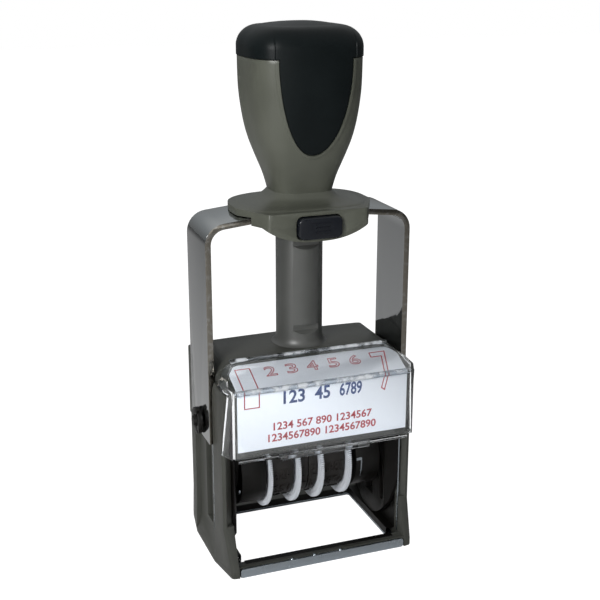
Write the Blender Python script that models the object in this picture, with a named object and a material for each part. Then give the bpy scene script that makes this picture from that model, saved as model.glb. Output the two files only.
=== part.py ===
"""Self-inking date stamp: a pressed handle flips the platen from the ink pad down to the paper.

Metres, +Z up, the viewer's side is -Y. The origin is the middle of the base, on the desk.
"""
import math

import bmesh
import bpy
from mathutils import Matrix, Vector

# Clearances and finishing sizes shared by every piece
SEAT_GAP = 0.0003
SIDE_GAP = 0.0006
OVERRUN = 0.0040
OVERLAP = 0.0020
EDGE_SOFT = 0.0004
CORNER_SOFT = 0.0008
FINE_SOFT = 0.0002
SMOOTH_ANGLE = math.radians(38)
ROUND_STEPS = 32
SMALL_STEPS = 18
CORNER_STEPS = 4

# Driving sizes of the frame
BASE_HALF_WIDTH = 0.0325
BASE_HALF_DEPTH = 0.0230
FOOT_CORNER_IN_X = 0.0019
FOOT_CORNER_IN_Y = 0.0014
FOOT_FRONT_IN = 0.0043
FOOT_HEIGHT = 0.0022
FLARE_TOP = 0.0143
FLARE_IN = 0.0004
CHEEK_WALL = 0.0040
CHEEK_CORNER_IN_X = 0.0006
CHEEK_CORNER_IN_Y = 0.0010
CHEEK_FRONT_IN = 0.0015
CHEEK_STEP_BACK = 0.0052
RAIL_TOP = 0.0031
SIDE_RAIL_WIDTH = 0.0029
FRONT_RAIL_WIDTH = 0.0046
REAR_RAIL_WIDTH = 0.0062
HOOD_WALL = 0.0029
HOOD_ROOF = 0.0064
HOOD_CROWN_RADIUS = 0.0090
HOOD_CROWN_DROP = 0.0012
WINDOW_DROP = 0.0276
REAR_SKIRT_DROP = 0.0060
CROWN_STEPS = 8

# Driving sizes of the flip; the stroke follows from them
DIE_REACH = 0.0127
FLIP_ANGLE = math.pi
CAM_BOSS_IN = 0.0042
GROOVE_EASE = 0.00041775
DIE_EDGE_IN = 0.0001

# Driving sizes of the yoke, a bent strap
STRAP_THICKNESS = 0.0018
STRAP_HALF_DEPTH = 0.0100
STRAP_LEG_END = 0.0044
STRAP_PITCH = math.radians(6)
STRAP_PEAK_RISE = 0.0089
STRAP_BEND_RADIUS = 0.0064
STRAP_BEND_STEPS = 8
CHANNEL_DEPTH = 0.0015
CHANNEL_BOTTOM = 0.0060
CHANNEL_RAMP_BOTTOM = 0.0010

# Driving sizes of the handle
APRON_CLEARANCE = 0.0039
APRON_DROP = 0.0048
APRON_HALF_SHARE = 0.80
APRON_CURVE = 2.5
APRON_STEPS = 7
COLLAR_HEIGHT = 0.0090
COLLAR_HALF_X = 0.0217
COLLAR_END_HALF_Y = 0.0098
COLLAR_END_RADIUS = 0.0068
COLLAR_FACE_HALF_X = 0.0155
COLLAR_HALF_Y = 0.0170
BORE_END_CLEARANCE = 0.0032
BORE_ROOF = 0.0090
FILLET_HALF_X = 0.0196
FILLET_HALF_Y = 0.0150
FILLET_SHARES = ((-0.08, 1.0), (0.08, 0.88), (0.26, 0.48), (0.56, 0.18), (1.0, 0.0))
GRIP_NECK = (0.0092, 0.0085)
WAIST_RISE = 0.0038
GRIP_SHOULDER = (0.0173, 0.0156)
GRIP_HEIGHT_SHARES = (0.0, 0.12, 0.26, 0.40, 0.55, 0.76, 1.0)
GRIP_SPREAD_SHARES = (0.0, 0.163, 0.43, 0.675, 0.843, 0.97, 1.0)
GRIP_SQUARENESS = 3.4
CAP_HEIGHT = 0.0097
CAP_PROUD = 0.0002
CAP_EDGE_RADIUS = 0.0062
CAP_EDGE_STEPS = 6
CAP_CROWN = 0.0010
CAP_CROWN_SHARES = ((0.72, 0.50), (0.30, 1.0))
TONGUE_HALF_WIDTH = 0.0112
TONGUE_LENGTH = 0.0280
TONGUE_THICKNESS = 0.0009
TONGUE_STEPS = 7

# Driving sizes of the guide column
COLUMN_RADIUS = 0.0073
COLUMN_BORE = 0.0055
COLUMN_TOP_DROP = 0.0006
COLUMN_FLOOR_DROP = 0.0012
COLUMN_FLARE_RADIUS = 0.0088
COLUMN_FLARE_HEIGHT = 0.0020
SPIGOT_RADIUS = 0.0062
SPIGOT_LENGTH = 0.0032
NOTCH_FLAT_Y = 0.0060
NOTCH_SHOW = 0.0038
NOTCH_RAMP = 0.0013
NOTCH_HEADROOM = 0.0004

# Driving sizes of the lock button and its latch
BUTTON_HALF_WIDTH = 0.0069
BUTTON_RISE = 0.0010
BUTTON_HEIGHT = 0.0066
BUTTON_PROUD = 0.0016
BUTTON_DEPTH = 0.0046
BUTTON_TRAVEL = 0.0017
BUTTON_RIBS = 3
BUTTON_RIB_HEIGHT = 0.0004
BUTTON_RIB_HALF_LENGTH = 0.0032
LATCH_RISE = 0.0004
LATCH_HEIGHT = 0.0014
LATCH_HALF_WIDTH = 0.0030

# Driving sizes of the screws under the yoke
SCREW_X = 0.0131
SCREW_RADIUS = 0.0012
SCREW_HOLE = 0.0015
SCREW_HEAD_RADIUS = 0.0024
SCREW_HEAD_HEIGHT = 0.0013
SCREW_END_RISE = 0.0005

# Driving sizes of the return spring and the rod that it surrounds
SPRING_RADIUS = 0.0043
SPRING_WIRE = 0.0006
SPRING_TURNS = 15
SPRING_TURN_POINTS = 10
SPRING_SIDES = 6
ROD_RADIUS = 0.0020
ROD_HEAD_RADIUS = 0.0050
ROD_HEAD_HEIGHT = 0.0014
ROD_LENGTH = 0.0420

# Driving sizes of the ink tray and pad
LEDGE_DROP = 0.0020
TRAY_FLANGE_WIDTH = 0.0020
TRAY_FLANGE_HEIGHT = 0.0012
TRAY_RISE = 0.0037
TRAY_WALL = 0.0009
TRAY_FRONT_IN = 0.0043
PAD_MARGIN = 0.0018
PAD_LIFT = 0.0008
RIM_HALF_X = 0.0150
RIM_REACH = 0.0009

# Driving sizes of the index cover and its card
COVER_WALL = 0.0010
COVER_KNEE_DROP = 0.0060
COVER_KNEE_RADIUS = 0.0018
COVER_KNEE_STEPS = 4
COVER_RUN = 0.0133
COVER_REAR_DROP = 0.0006
COVER_FRONT_IN = 0.0025
COVER_SIDE_IN = 0.0005
COVER_SIDE_TOP_IN = 0.0022
COVER_SIDE_BOTTOM_IN = 0.0054
COVER_SKIRT_DROP = 0.0070
COVER_CHAMFER = 0.0041
TAB_HALF_WIDTH = 0.0150
TAB_DROP = 0.0010
CARD_THICKNESS = 0.0003
CARD_SIDE_IN = 0.00195
CARD_RISE = 0.0019
CARD_REAR_IN = 0.0013

# Driving sizes of the pivot
SHAFT_RADIUS = 0.0025
SHAFT_NOSE_RADIUS = 0.0017
SHAFT_NOSE_LENGTH = 0.0026
HUB_RADIUS = 0.00425
HUB_WIDTH = 0.0014
HUB_BORE = 0.0020
HUB_SLOTS = 3
HUB_SLOT_WIDTH = 0.0009
HUB_SLOT_DEPTH = 0.0008

# Driving sizes of the base ring and guide strips
RING_THICKNESS = 0.0008
RING_SIDE_IN = 0.0004
RING_LIP_HEIGHT = 0.0029
RING_LIP_THICKNESS = 0.0008
STRIP_WIDTH = 0.0020
STRIP_THICKNESS = 0.0010
STRIP_TOP_DROP = 0.0116

# Driving sizes of the cam plates
CAM_THICKNESS = 0.0023
CAM_EDGE_IN = 0.0006
CAM_MIDDLE_BOTTOM = 0.0030
CAM_END_BOTTOM = 0.0130
CAM_BOTTOM_STEPS = 5
CAM_PIN_RADIUS = 0.0012
CAM_PATH_STEPS = 24
CAM_END_STEPS = 6

# Driving sizes of the carrier and text plate
PLATE_THICKNESS = 0.0020
DECK_THICKNESS = 0.0016
CARRIER_CHEEK = 0.0022
CAM_BOSS_RADIUS = 0.0020
CARRIER_FOOT_IN = 0.0062
END_BLOCK_IN = 0.0019
END_BLOCK_TOP_RADIUS = 0.0052
BOSS_RADIUS = 0.0045
BRIDGE_HEIGHT = 0.0028
AXLE_END_IN = 0.0036

# Driving sizes of the date wheels and bands
WHEEL_PROUD = 0.0002
WHEEL_CLEARANCE = 0.0009
WHEEL_DISC_WIDTH = 0.0012
WHEEL_TEETH = 48
WHEEL_TOOTH_DEPTH = 0.0003
WHEEL_BORE = 0.0023
AXLE_RADIUS = 0.0020
BAND_THICKNESS = 0.0009
BAND_SINK = 0.0018
BAND_TOP_DROP = 0.0004
BAND_TOP_HALF = 0.0034
BAND_CORNER_RADIUS = 0.0016
DRUM_GAP = 0.0003
TRAIN_START_SHARE = -0.616327
WHEEL_GAP = 0.0003
WHEEL_NAMES = ("month", "tens", "units", "year")
BAND_WIDTH_SHARES = (0.326531, 0.134694, 0.122449, 0.326531)
DISC_ON_LEFT = (True, True, False, False)
BAND_SIDE_GAP = 0.00015
LEFT_SPACER_SHARE = 0.0147
RIGHT_SPACER_SHARE = 0.097959

# Widths that follow from the base
CHEEK_HALF_WIDTH = BASE_HALF_WIDTH - FLARE_IN
CHEEK_INNER_X = CHEEK_HALF_WIDTH - CHEEK_WALL
APERTURE_HALF_X = CHEEK_INNER_X - SIDE_RAIL_WIDTH
CHANNEL_FLOOR_X = CHEEK_HALF_WIDTH - CHANNEL_DEPTH
STRAP_INNER_X = CHANNEL_FLOOR_X + SIDE_GAP
STRAP_OUTER_X = STRAP_INNER_X + STRAP_THICKNESS
SHAFT_NOSE_X = STRAP_OUTER_X + SHAFT_NOSE_LENGTH
CAM_OUTER_X = CHEEK_INNER_X - SEAT_GAP
CAM_INNER_X = CAM_OUTER_X - CAM_THICKNESS
CARRIER_HALF_X = CAM_INNER_X - SIDE_GAP - SEAT_GAP
DIE_HALF_X = CARRIER_HALF_X - DIE_EDGE_IN
AXLE_HALF_LENGTH = CARRIER_HALF_X - AXLE_END_IN
TRAY_HALF_X = CARRIER_HALF_X
TRAY_FLANGE_X = TRAY_HALF_X + TRAY_FLANGE_WIDTH
LEDGE_X = TRAY_HALF_X + SEAT_GAP
RING_HALF_X = CHEEK_INNER_X - RING_SIDE_IN
COVER_FRONT_X = CHEEK_HALF_WIDTH - COVER_FRONT_IN
COVER_SIDE_X = CHEEK_HALF_WIDTH - COVER_SIDE_IN
CARD_HALF_WIDTH = COVER_FRONT_X - CARD_SIDE_IN
CORE_HALF_X = CARD_HALF_WIDTH + SEAT_GAP
FOOT_CORNER = (BASE_HALF_WIDTH - FOOT_CORNER_IN_X, BASE_HALF_DEPTH - FOOT_CORNER_IN_Y)
FOOT_FRONT = (BASE_HALF_WIDTH - FOOT_FRONT_IN, BASE_HALF_DEPTH)

# Depths that follow from the base
CHEEK_HALF_DEPTH = BASE_HALF_DEPTH - CHEEK_STEP_BACK
CHEEK_CORNER = (CHEEK_HALF_WIDTH - CHEEK_CORNER_IN_X, CHEEK_HALF_DEPTH - CHEEK_CORNER_IN_Y)
CHEEK_FRONT = (CHEEK_HALF_WIDTH - CHEEK_FRONT_IN, CHEEK_HALF_DEPTH)
APERTURE_FRONT_Y = BASE_HALF_DEPTH - FRONT_RAIL_WIDTH
APERTURE_REAR_Y = BASE_HALF_DEPTH - REAR_RAIL_WIDTH
SWING_WALL_Y = BASE_HALF_DEPTH - HOOD_WALL
TRAY_FRONT_Y = SWING_WALL_Y - TRAY_FRONT_IN
DIE_HALF_Y = TRAY_FRONT_Y - PAD_MARGIN
CAM_HALF_DEPTH = CHEEK_HALF_DEPTH - CAM_EDGE_IN
COVER_OUTER_Y = BASE_HALF_DEPTH - FINE_SOFT
COVER_INNER_Y = COVER_OUTER_Y - COVER_WALL
COVER_REAR_Y = COVER_OUTER_Y - COVER_RUN
COVER_SIDE_TOP_Y = COVER_OUTER_Y - COVER_SIDE_TOP_IN
COVER_SIDE_BOTTOM_Y = COVER_OUTER_Y - COVER_SIDE_BOTTOM_IN
CARD_REAR_Y = COVER_REAR_Y + CARD_REAR_IN
CARD_FRONT_Y = COVER_INNER_Y - SEAT_GAP
CORE_FRONT_Y = CARD_FRONT_Y - CARD_THICKNESS - SEAT_GAP
BUTTON_FRONT_Y = -COLLAR_HALF_Y - BUTTON_PROUD
BUTTON_REAR_Y = BUTTON_FRONT_Y + BUTTON_DEPTH
POCKET_REAR_Y = BUTTON_REAR_Y + BUTTON_TRAVEL + SEAT_GAP
LATCH_TIP_Y = -NOTCH_FLAT_Y - SEAT_GAP - BUTTON_TRAVEL

# The stroke: a deeper platen needs more room to turn over in, so its pivot sits higher
CAM_PIN_ORBIT = DIE_HALF_Y - CAM_BOSS_IN
PRESS_TRAVEL = FLIP_ANGLE * (CAM_PIN_ORBIT + GROOVE_EASE)
PIVOT_HEIGHT = PRESS_TRAVEL + DIE_REACH
WHEEL_RADIUS = DIE_HALF_Y + WHEEL_PROUD
WHEEL_HEIGHT = PIVOT_HEIGHT - SHAFT_RADIUS - WHEEL_CLEARANCE - WHEEL_RADIUS
BAND_DRUM_RADIUS = WHEEL_RADIUS - BAND_SINK
END_BLOCK_RADIUS = WHEEL_RADIUS - END_BLOCK_IN
CARRIER_FOOT_RADIUS = WHEEL_RADIUS - CARRIER_FOOT_IN

# Heights that follow from the pivot: the platen turns over between the pad and the paper
DIE_FACE_HEIGHT = PIVOT_HEIGHT + DIE_REACH
STRAP_LEG_BOTTOM = PIVOT_HEIGHT - STRAP_LEG_END
BAND_TOP = DIE_FACE_HEIGHT - BAND_TOP_DROP
LEDGE_BOTTOM = DIE_FACE_HEIGHT - LEDGE_DROP
TRAY_TOP = DIE_FACE_HEIGHT + TRAY_RISE
HOOD_TOP = TRAY_TOP + HOOD_ROOF
REAR_SKIRT_BOTTOM = LEDGE_BOTTOM - REAR_SKIRT_DROP
WINDOW_BOTTOM = HOOD_TOP - WINDOW_DROP
COVER_KNEE_HEIGHT = HOOD_TOP - COVER_KNEE_DROP
COVER_REAR_HEIGHT = HOOD_TOP - COVER_REAR_DROP
COVER_SKIRT_HEIGHT = HOOD_TOP - COVER_SKIRT_DROP
CARD_BOTTOM = WINDOW_BOTTOM + CARD_RISE
COLUMN_FLOOR = HOOD_TOP - COLUMN_FLOOR_DROP
STRIP_TOP = HOOD_TOP - STRIP_TOP_DROP

# Heights of the handle, which stands clear of the hood by the stroke
APRON_BOTTOM = HOOD_TOP + PRESS_TRAVEL + APRON_CLEARANCE
COLLAR_END_BOTTOM = APRON_BOTTOM + APRON_DROP
COLLAR_TOP = APRON_BOTTOM + COLLAR_HEIGHT
STRAP_PEAK_HEIGHT = APRON_BOTTOM + STRAP_PEAK_RISE
SCREW_TOP = STRAP_PEAK_HEIGHT + SCREW_END_RISE
COLUMN_TOP = COLLAR_TOP - COLUMN_TOP_DROP
BORE_CEILING = COLUMN_TOP + PRESS_TRAVEL + BORE_END_CLEARANCE
GRIP_WAIST_HEIGHT = COLLAR_TOP + WAIST_RISE
CAP_BOTTOM = BORE_CEILING + BORE_ROOF
HANDLE_TOP = CAP_BOTTOM + CAP_HEIGHT
TONGUE_TIP_HEIGHT = CAP_BOTTOM - TONGUE_LENGTH
BUTTON_BOTTOM = APRON_BOTTOM + BUTTON_RISE
BUTTON_TOP = BUTTON_BOTTOM + BUTTON_HEIGHT
LATCH_BOTTOM = BUTTON_BOTTOM + LATCH_RISE
LATCH_TOP = LATCH_BOTTOM + LATCH_HEIGHT
UPPER_NOTCH = (APRON_BOTTOM - NOTCH_SHOW, LATCH_TOP + NOTCH_HEADROOM)
NOTCH_LOW = (LATCH_BOTTOM - PRESS_TRAVEL - SEAT_GAP, LATCH_TOP - PRESS_TRAVEL + SEAT_GAP)

# Fits and places that follow from several sizes
CHANNEL_HALF_Y = STRAP_HALF_DEPTH + SEAT_GAP
SLOT_HALF_Y = SHAFT_RADIUS + SIDE_GAP
SLOT_TOP = PIVOT_HEIGHT + SLOT_HALF_Y
SLOT_BOTTOM = PIVOT_HEIGHT - PRESS_TRAVEL - SLOT_HALF_Y
PAD_BOTTOM = DIE_FACE_HEIGHT + PAD_LIFT
LEDGE_TOP = PAD_BOTTOM - SEAT_GAP
CAM_TOP = LEDGE_BOTTOM - SEAT_GAP
GROOVE_HALF = CAM_PIN_RADIUS + SEAT_GAP
COLLAR_BORE = COLUMN_RADIUS + SEAT_GAP
COLUMN_SEAT = HOOD_TOP + SEAT_GAP
PLATE_BOTTOM = DIE_FACE_HEIGHT - PLATE_THICKNESS
DECK_TOP = PLATE_BOTTOM - SEAT_GAP
DECK_BOTTOM = DECK_TOP - DECK_THICKNESS
CARD_STACK = COVER_WALL + CARD_THICKNESS + SEAT_GAP + SEAT_GAP
AXLE_HALF_BORE = AXLE_RADIUS + SEAT_GAP
SHAFT_BORE = SHAFT_RADIUS + SEAT_GAP
WHEEL_START_X = DIE_HALF_X * TRAIN_START_SHARE
BAND_WIDTHS = [DIE_HALF_X * share for share in BAND_WIDTH_SHARES]
LEFT_SPACER = DIE_HALF_X * LEFT_SPACER_SHARE
RIGHT_SPACER = DIE_HALF_X * RIGHT_SPACER_SHARE
BAND_START_X = WHEEL_START_X + WHEEL_DISC_WIDTH
BAND_TAPER = (BAND_DRUM_RADIUS - BAND_TOP_HALF) / (BAND_TOP - WHEEL_HEIGHT)
WINDOW_HALF_Y = BAND_TOP_HALF + BAND_TAPER * (BAND_TOP - DECK_BOTTOM) + SIDE_GAP
WHEELS_END_X = WHEEL_START_X + sum(BAND_WIDTHS) + 4 * WHEEL_DISC_WIDTH + 3 * WHEEL_GAP


def linear(channel):
    """Turn one sRGB channel, 0 to 1, to linear light."""
    if channel <= 0.04045:
        return channel / 12.92
    return ((channel + 0.055) / 1.055) ** 2.4


def finish(name, sheet, roughness, metallic, alpha=1.0):
    """Make a Principled material from an sRGB hex colour."""
    shade = bpy.data.materials.new(name)
    shade.use_nodes = True
    node = shade.node_tree.nodes["Principled BSDF"]
    channels = [int(sheet[at:at + 2], 16) / 255 for at in (0, 2, 4)]
    node.inputs["Base Color"].default_value = [linear(c) for c in channels] + [1.0]
    node.inputs["Roughness"].default_value = roughness
    node.inputs["Metallic"].default_value = metallic
    node.inputs["Alpha"].default_value = alpha
    return shade


def grip_grey(name):
    return finish(name, "6F6B61", 0.55, 0.0)


def frame_grey(name):
    return finish(name, "5E605A", 0.50, 0.0)


def black_plastic(name):
    return finish(name, "17191A", 0.40, 0.0)


def chrome(name):
    return finish(name, "B9BABA", 0.12, 1.0)


def place(name, mesh, shade, origin=(0.0, 0.0, 0.0)):
    """Give a mesh its own object, with its origin at the given world point."""
    mesh.transform(Matrix.Translation(-Vector(origin)))
    mesh.shade_smooth()
    mesh.set_sharp_from_angle(angle=SMOOTH_ANGLE)
    mesh.materials.clear()
    mesh.materials.append(shade)
    piece = bpy.data.objects.new(name, mesh)
    piece.location = origin
    bpy.context.scene.collection.objects.link(piece)
    return piece


def soften(piece, width):
    """Round the crisp edges of a moulded or ground piece."""
    bevel = piece.modifiers.new("soft_edges", "BEVEL")
    bevel.width = width
    bevel.segments = 1
    bevel.limit_method = "ANGLE"
    bevel.angle_limit = math.radians(50)
    return piece


def to_mesh(form, name="form"):
    """Turn a bmesh into a mesh with its faces pointing out."""
    bmesh.ops.recalc_face_normals(form, faces=form.faces)
    mesh = bpy.data.meshes.new(name)
    form.to_mesh(mesh)
    form.free()
    return mesh


def loft(rings):
    """Skin a closed solid over rings that have the same number of points."""
    form = bmesh.new()
    rows = [[form.verts.new(point) for point in ring] for ring in rings]
    count = len(rows[0])
    for low, high in zip(rows, rows[1:]):
        for at in range(count):
            after = (at + 1) % count
            form.faces.new((low[at], low[after], high[after], high[at]))
    form.faces.new(reversed(rows[0]))
    form.faces.new(rows[-1])
    return to_mesh(form)


def prism(outline, axis, start, end):
    """Extrude a flat outline along X, Y or Z; the outline holds the other two coordinates."""
    def lift(point, along):
        if axis == "x":
            return (along, point[0], point[1])
        if axis == "y":
            return (point[0], along, point[1])
        return (point[0], point[1], along)
    return loft([[lift(point, along) for point in outline] for along in (start, end)])


def block(low, high):
    """Make a box from its lowest and highest corners."""
    outline = [(low[0], low[1]), (high[0], low[1]), (high[0], high[1]), (low[0], high[1])]
    return prism(outline, "z", low[2], high[2])


def arc(centre, radius, start, end, steps):
    """List the points of an arc, angles in degrees."""
    points = []
    for step in range(steps + 1):
        angle = math.radians(start + (end - start) * step / steps)
        points.append((centre[0] + radius * math.cos(angle), centre[1] + radius * math.sin(angle)))
    return points


def circle(centre, radius, steps=ROUND_STEPS):
    """List the points of a full circle."""
    return arc(centre, radius, 0, 360, steps)[:-1]


def rod(axis, centre, radius, start, end, steps=ROUND_STEPS):
    """Make a round bar along an axis."""
    return prism(circle(centre, radius, steps), axis, start, end)


def turned(profile, axis, centre, steps=ROUND_STEPS):
    """Stack round sections, each given as its place along the axis and its radius."""
    rings = []
    for along, radius in profile:
        ring = circle(centre, radius, steps)
        if axis == "x":
            rings.append([(along, point[0], point[1]) for point in ring])
        else:
            rings.append([(point[0], point[1], along) for point in ring])
    return loft(rings)


def rounded_box(half_x, half_y, radius, steps=CORNER_STEPS, centre=(0.0, 0.0)):
    """List the outline of a rectangle with round corners."""
    points = []
    for sign_x, sign_y, start in ((1, 1, 0), (-1, 1, 90), (-1, -1, 180), (1, -1, 270)):
        corner = (centre[0] + sign_x * (half_x - radius), centre[1] + sign_y * (half_y - radius))
        points += arc(corner, radius, start, start + 90, steps)
    return points


def squircle(half_x, half_y, height, squareness=GRIP_SQUARENESS, steps=ROUND_STEPS):
    """List a rounded-square ring at a height."""
    ring = []
    for step in range(steps):
        angle = 2 * math.pi * step / steps
        across = math.copysign(abs(math.cos(angle)) ** (2 / squareness), math.cos(angle))
        deep = math.copysign(abs(math.sin(angle)) ** (2 / squareness), math.sin(angle))
        ring.append((half_x * across, half_y * deep, height))
    return ring


def hull(points):
    """Return the convex outline round flat points, counter-clockwise."""
    ordered = sorted(set(points))

    def chain(sequence):
        kept = []
        for point in sequence:
            while len(kept) > 1:
                first, second = kept[-2], kept[-1]
                turn = (second[0] - first[0]) * (point[1] - first[1])
                turn -= (second[1] - first[1]) * (point[0] - first[0])
                if turn > 0:
                    break
                kept.pop()
            kept.append(point)
        return kept[:-1]
    return chain(ordered) + chain(ordered[::-1])


def combine(mesh, others, operation):
    """Join, cut or keep the common part of solids with an exact Boolean."""
    body = bpy.data.objects.new("combine_body", mesh)
    bpy.context.scene.collection.objects.link(body)
    tools = []
    for other in others:
        tool = bpy.data.objects.new("combine_tool", other)
        bpy.context.scene.collection.objects.link(tool)
        tools.append(tool)
        step = body.modifiers.new("combine", "BOOLEAN")
        step.operation = operation
        step.solver = "EXACT"
        step.object = tool
    graph = bpy.context.evaluated_depsgraph_get()
    result = bpy.data.meshes.new_from_object(body.evaluated_get(graph))
    for piece in [body] + tools:
        bpy.data.objects.remove(piece)
    return result


def cut(mesh, *tools):
    return combine(mesh, tools, "DIFFERENCE")


def join(mesh, *others):
    return combine(mesh, others, "UNION")


def common(mesh, *others):
    return combine(mesh, others, "INTERSECT")


def plan_ring(side_x, corner, front, height):
    """List the frame's outline at one height: bowed sides and rounded corners."""
    corner_x, corner_y = corner
    front_x, front_y = front
    bend_shares = ((0.94, 0.42), (0.66, 0.84))
    quarter = [(side_x, CHANNEL_HALF_Y), (corner_x, corner_y)]
    for across, deep in bend_shares:
        quarter.append((front_x + (corner_x - front_x) * across, corner_y + (front_y - corner_y) * deep))
    quarter.append((front_x, front_y))
    half = quarter + [(-x, y) for x, y in reversed(quarter)]
    return [(x, y, height) for x, y in half + [(-x, -y) for x, y in half]]


def crown_outline(inset):
    """List the hood's round-shouldered outline seen from the front, drawn in by an inset."""
    radius = HOOD_CROWN_RADIUS - inset
    shoulder_x = CHEEK_HALF_WIDTH - HOOD_CROWN_RADIUS
    shoulder_z = HOOD_TOP - HOOD_CROWN_DROP - HOOD_CROWN_RADIUS
    half = [(shoulder_x + radius, -OVERRUN)] + arc((shoulder_x, shoulder_z), radius, 0, 90, CROWN_STEPS)
    crown_shares = (0.66, 0.33)
    half += [(shoulder_x * s, HOOD_TOP - inset - HOOD_CROWN_DROP * s * s) for s in crown_shares]
    half.append((0.0, HOOD_TOP - inset))
    return half + [(-x, z) for x, z in reversed(half[:-1])]


def crown(inset):
    return prism(crown_outline(inset), "y", -2 * BASE_HALF_DEPTH, 2 * BASE_HALF_DEPTH)


def slope_height(y, inset):
    """Height of the index cover's sloping top at -y, drawn in by an inset."""
    run = COVER_OUTER_Y - COVER_REAR_Y
    rise = COVER_REAR_HEIGHT - COVER_KNEE_HEIGHT
    drop = inset * math.hypot(run, rise) / run
    return COVER_KNEE_HEIGHT + (COVER_OUTER_Y - y) / run * rise - drop


def hood_shell():
    """Hood behind the index cover, with the step that the cover's edge butts against."""
    levels = (WINDOW_BOTTOM - 2 * OVERRUN, HOOD_TOP + OVERRUN)
    depth = COVER_INNER_Y
    shell = loft([plan_ring(CHEEK_HALF_WIDTH, CHEEK_CORNER, (COVER_FRONT_X, depth), z) for z in levels])
    high = HOOD_TOP + OVERRUN
    low = WINDOW_BOTTOM - OVERRUN
    pillar_y = COVER_SIDE_BOTTOM_Y - SEAT_GAP
    seat_rear = COVER_REAR_Y - SEAT_GAP
    rear_knee = slope_height(depth, 0.0)
    side = [
        (-pillar_y, WINDOW_BOTTOM),
        (-pillar_y, low),
        (pillar_y, low),
        (pillar_y, WINDOW_BOTTOM),
        (2 * depth, WINDOW_BOTTOM),
        (2 * depth, rear_knee),
        (depth, rear_knee),
        (COVER_REAR_Y, HOOD_TOP),
        (COVER_REAR_Y, high),
        (-seat_rear, high),
        (-seat_rear, COVER_SKIRT_HEIGHT + SEAT_GAP),
        (-COVER_SIDE_TOP_Y + SEAT_GAP, COVER_SKIRT_HEIGHT - SEAT_GAP),
    ]
    return common(shell, prism(side, "x", -BASE_HALF_WIDTH, BASE_HALF_WIDTH), crown(0.0))


def hood_core():
    """Front of the hood that carries the index card."""
    rear = COVER_REAR_Y - OVERRUN
    side = [
        (-CORE_FRONT_Y, WINDOW_BOTTOM),
        (-rear, WINDOW_BOTTOM),
        (-rear, slope_height(rear, CARD_STACK)),
        (-CORE_FRONT_Y, slope_height(CORE_FRONT_Y, CARD_STACK)),
    ]
    return common(prism(side, "x", -CORE_HALF_X, CORE_HALF_X), crown(CARD_STACK))


def cheeks():
    """Flared feet and pillars, still solid between them."""
    return loft([
        plan_ring(BASE_HALF_WIDTH, FOOT_CORNER, FOOT_FRONT, 0.0),
        plan_ring(BASE_HALF_WIDTH, FOOT_CORNER, FOOT_FRONT, FOOT_HEIGHT),
        plan_ring(CHEEK_HALF_WIDTH, CHEEK_CORNER, CHEEK_FRONT, FLARE_TOP),
        plan_ring(CHEEK_HALF_WIDTH, CHEEK_CORNER, CHEEK_FRONT, WINDOW_BOTTOM - SEAT_GAP),
    ])


def frame_hollows():
    """Space for the platen's swing, finger openings, aperture and ink tray tunnel."""
    deep = 2 * BASE_HALF_DEPTH
    ring_x = RING_HALF_X + SEAT_GAP
    lip_y = BASE_HALF_DEPTH - RING_LIP_THICKNESS - SEAT_GAP
    tunnel_front = -TRAY_FRONT_Y - SEAT_GAP
    flange_x = TRAY_FLANGE_X + SEAT_GAP
    flange_top = PAD_BOTTOM + TRAY_FLANGE_HEIGHT + SEAT_GAP
    hollows = [
        block((-CHEEK_INNER_X, -SWING_WALL_Y, RAIL_TOP), (CHEEK_INNER_X, SWING_WALL_Y, LEDGE_BOTTOM)),
        block((-CHEEK_INNER_X, -deep, RAIL_TOP), (CHEEK_INNER_X, deep, FLARE_TOP + OVERRUN)),
        block((-CHEEK_INNER_X, 0.0, FLARE_TOP), (CHEEK_INNER_X, deep, REAR_SKIRT_BOTTOM)),
        block((-CHEEK_INNER_X, -APERTURE_FRONT_Y - SEAT_GAP, -OVERRUN),
              (CHEEK_INNER_X, APERTURE_REAR_Y + SEAT_GAP, RAIL_TOP + OVERRUN)),
        block((-ring_x, -lip_y - OVERRUN, -OVERRUN), (ring_x, lip_y + OVERRUN, RING_THICKNESS + SEAT_GAP)),
        block((-LEDGE_X, -SWING_WALL_Y, LEDGE_BOTTOM - OVERRUN), (LEDGE_X, SWING_WALL_Y, LEDGE_TOP)),
        block((-LEDGE_X, tunnel_front, LEDGE_TOP - OVERRUN), (LEDGE_X, deep, TRAY_TOP + SEAT_GAP)),
        block((-flange_x, tunnel_front, LEDGE_TOP), (flange_x, deep, flange_top)),
    ]
    for side in (-1, 1):
        low_y, high_y = sorted((side * lip_y, side * deep))
        hollows.append(block((-ring_x, low_y, -OVERRUN), (ring_x, high_y, RING_LIP_HEIGHT + SEAT_GAP)))
    return hollows


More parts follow.
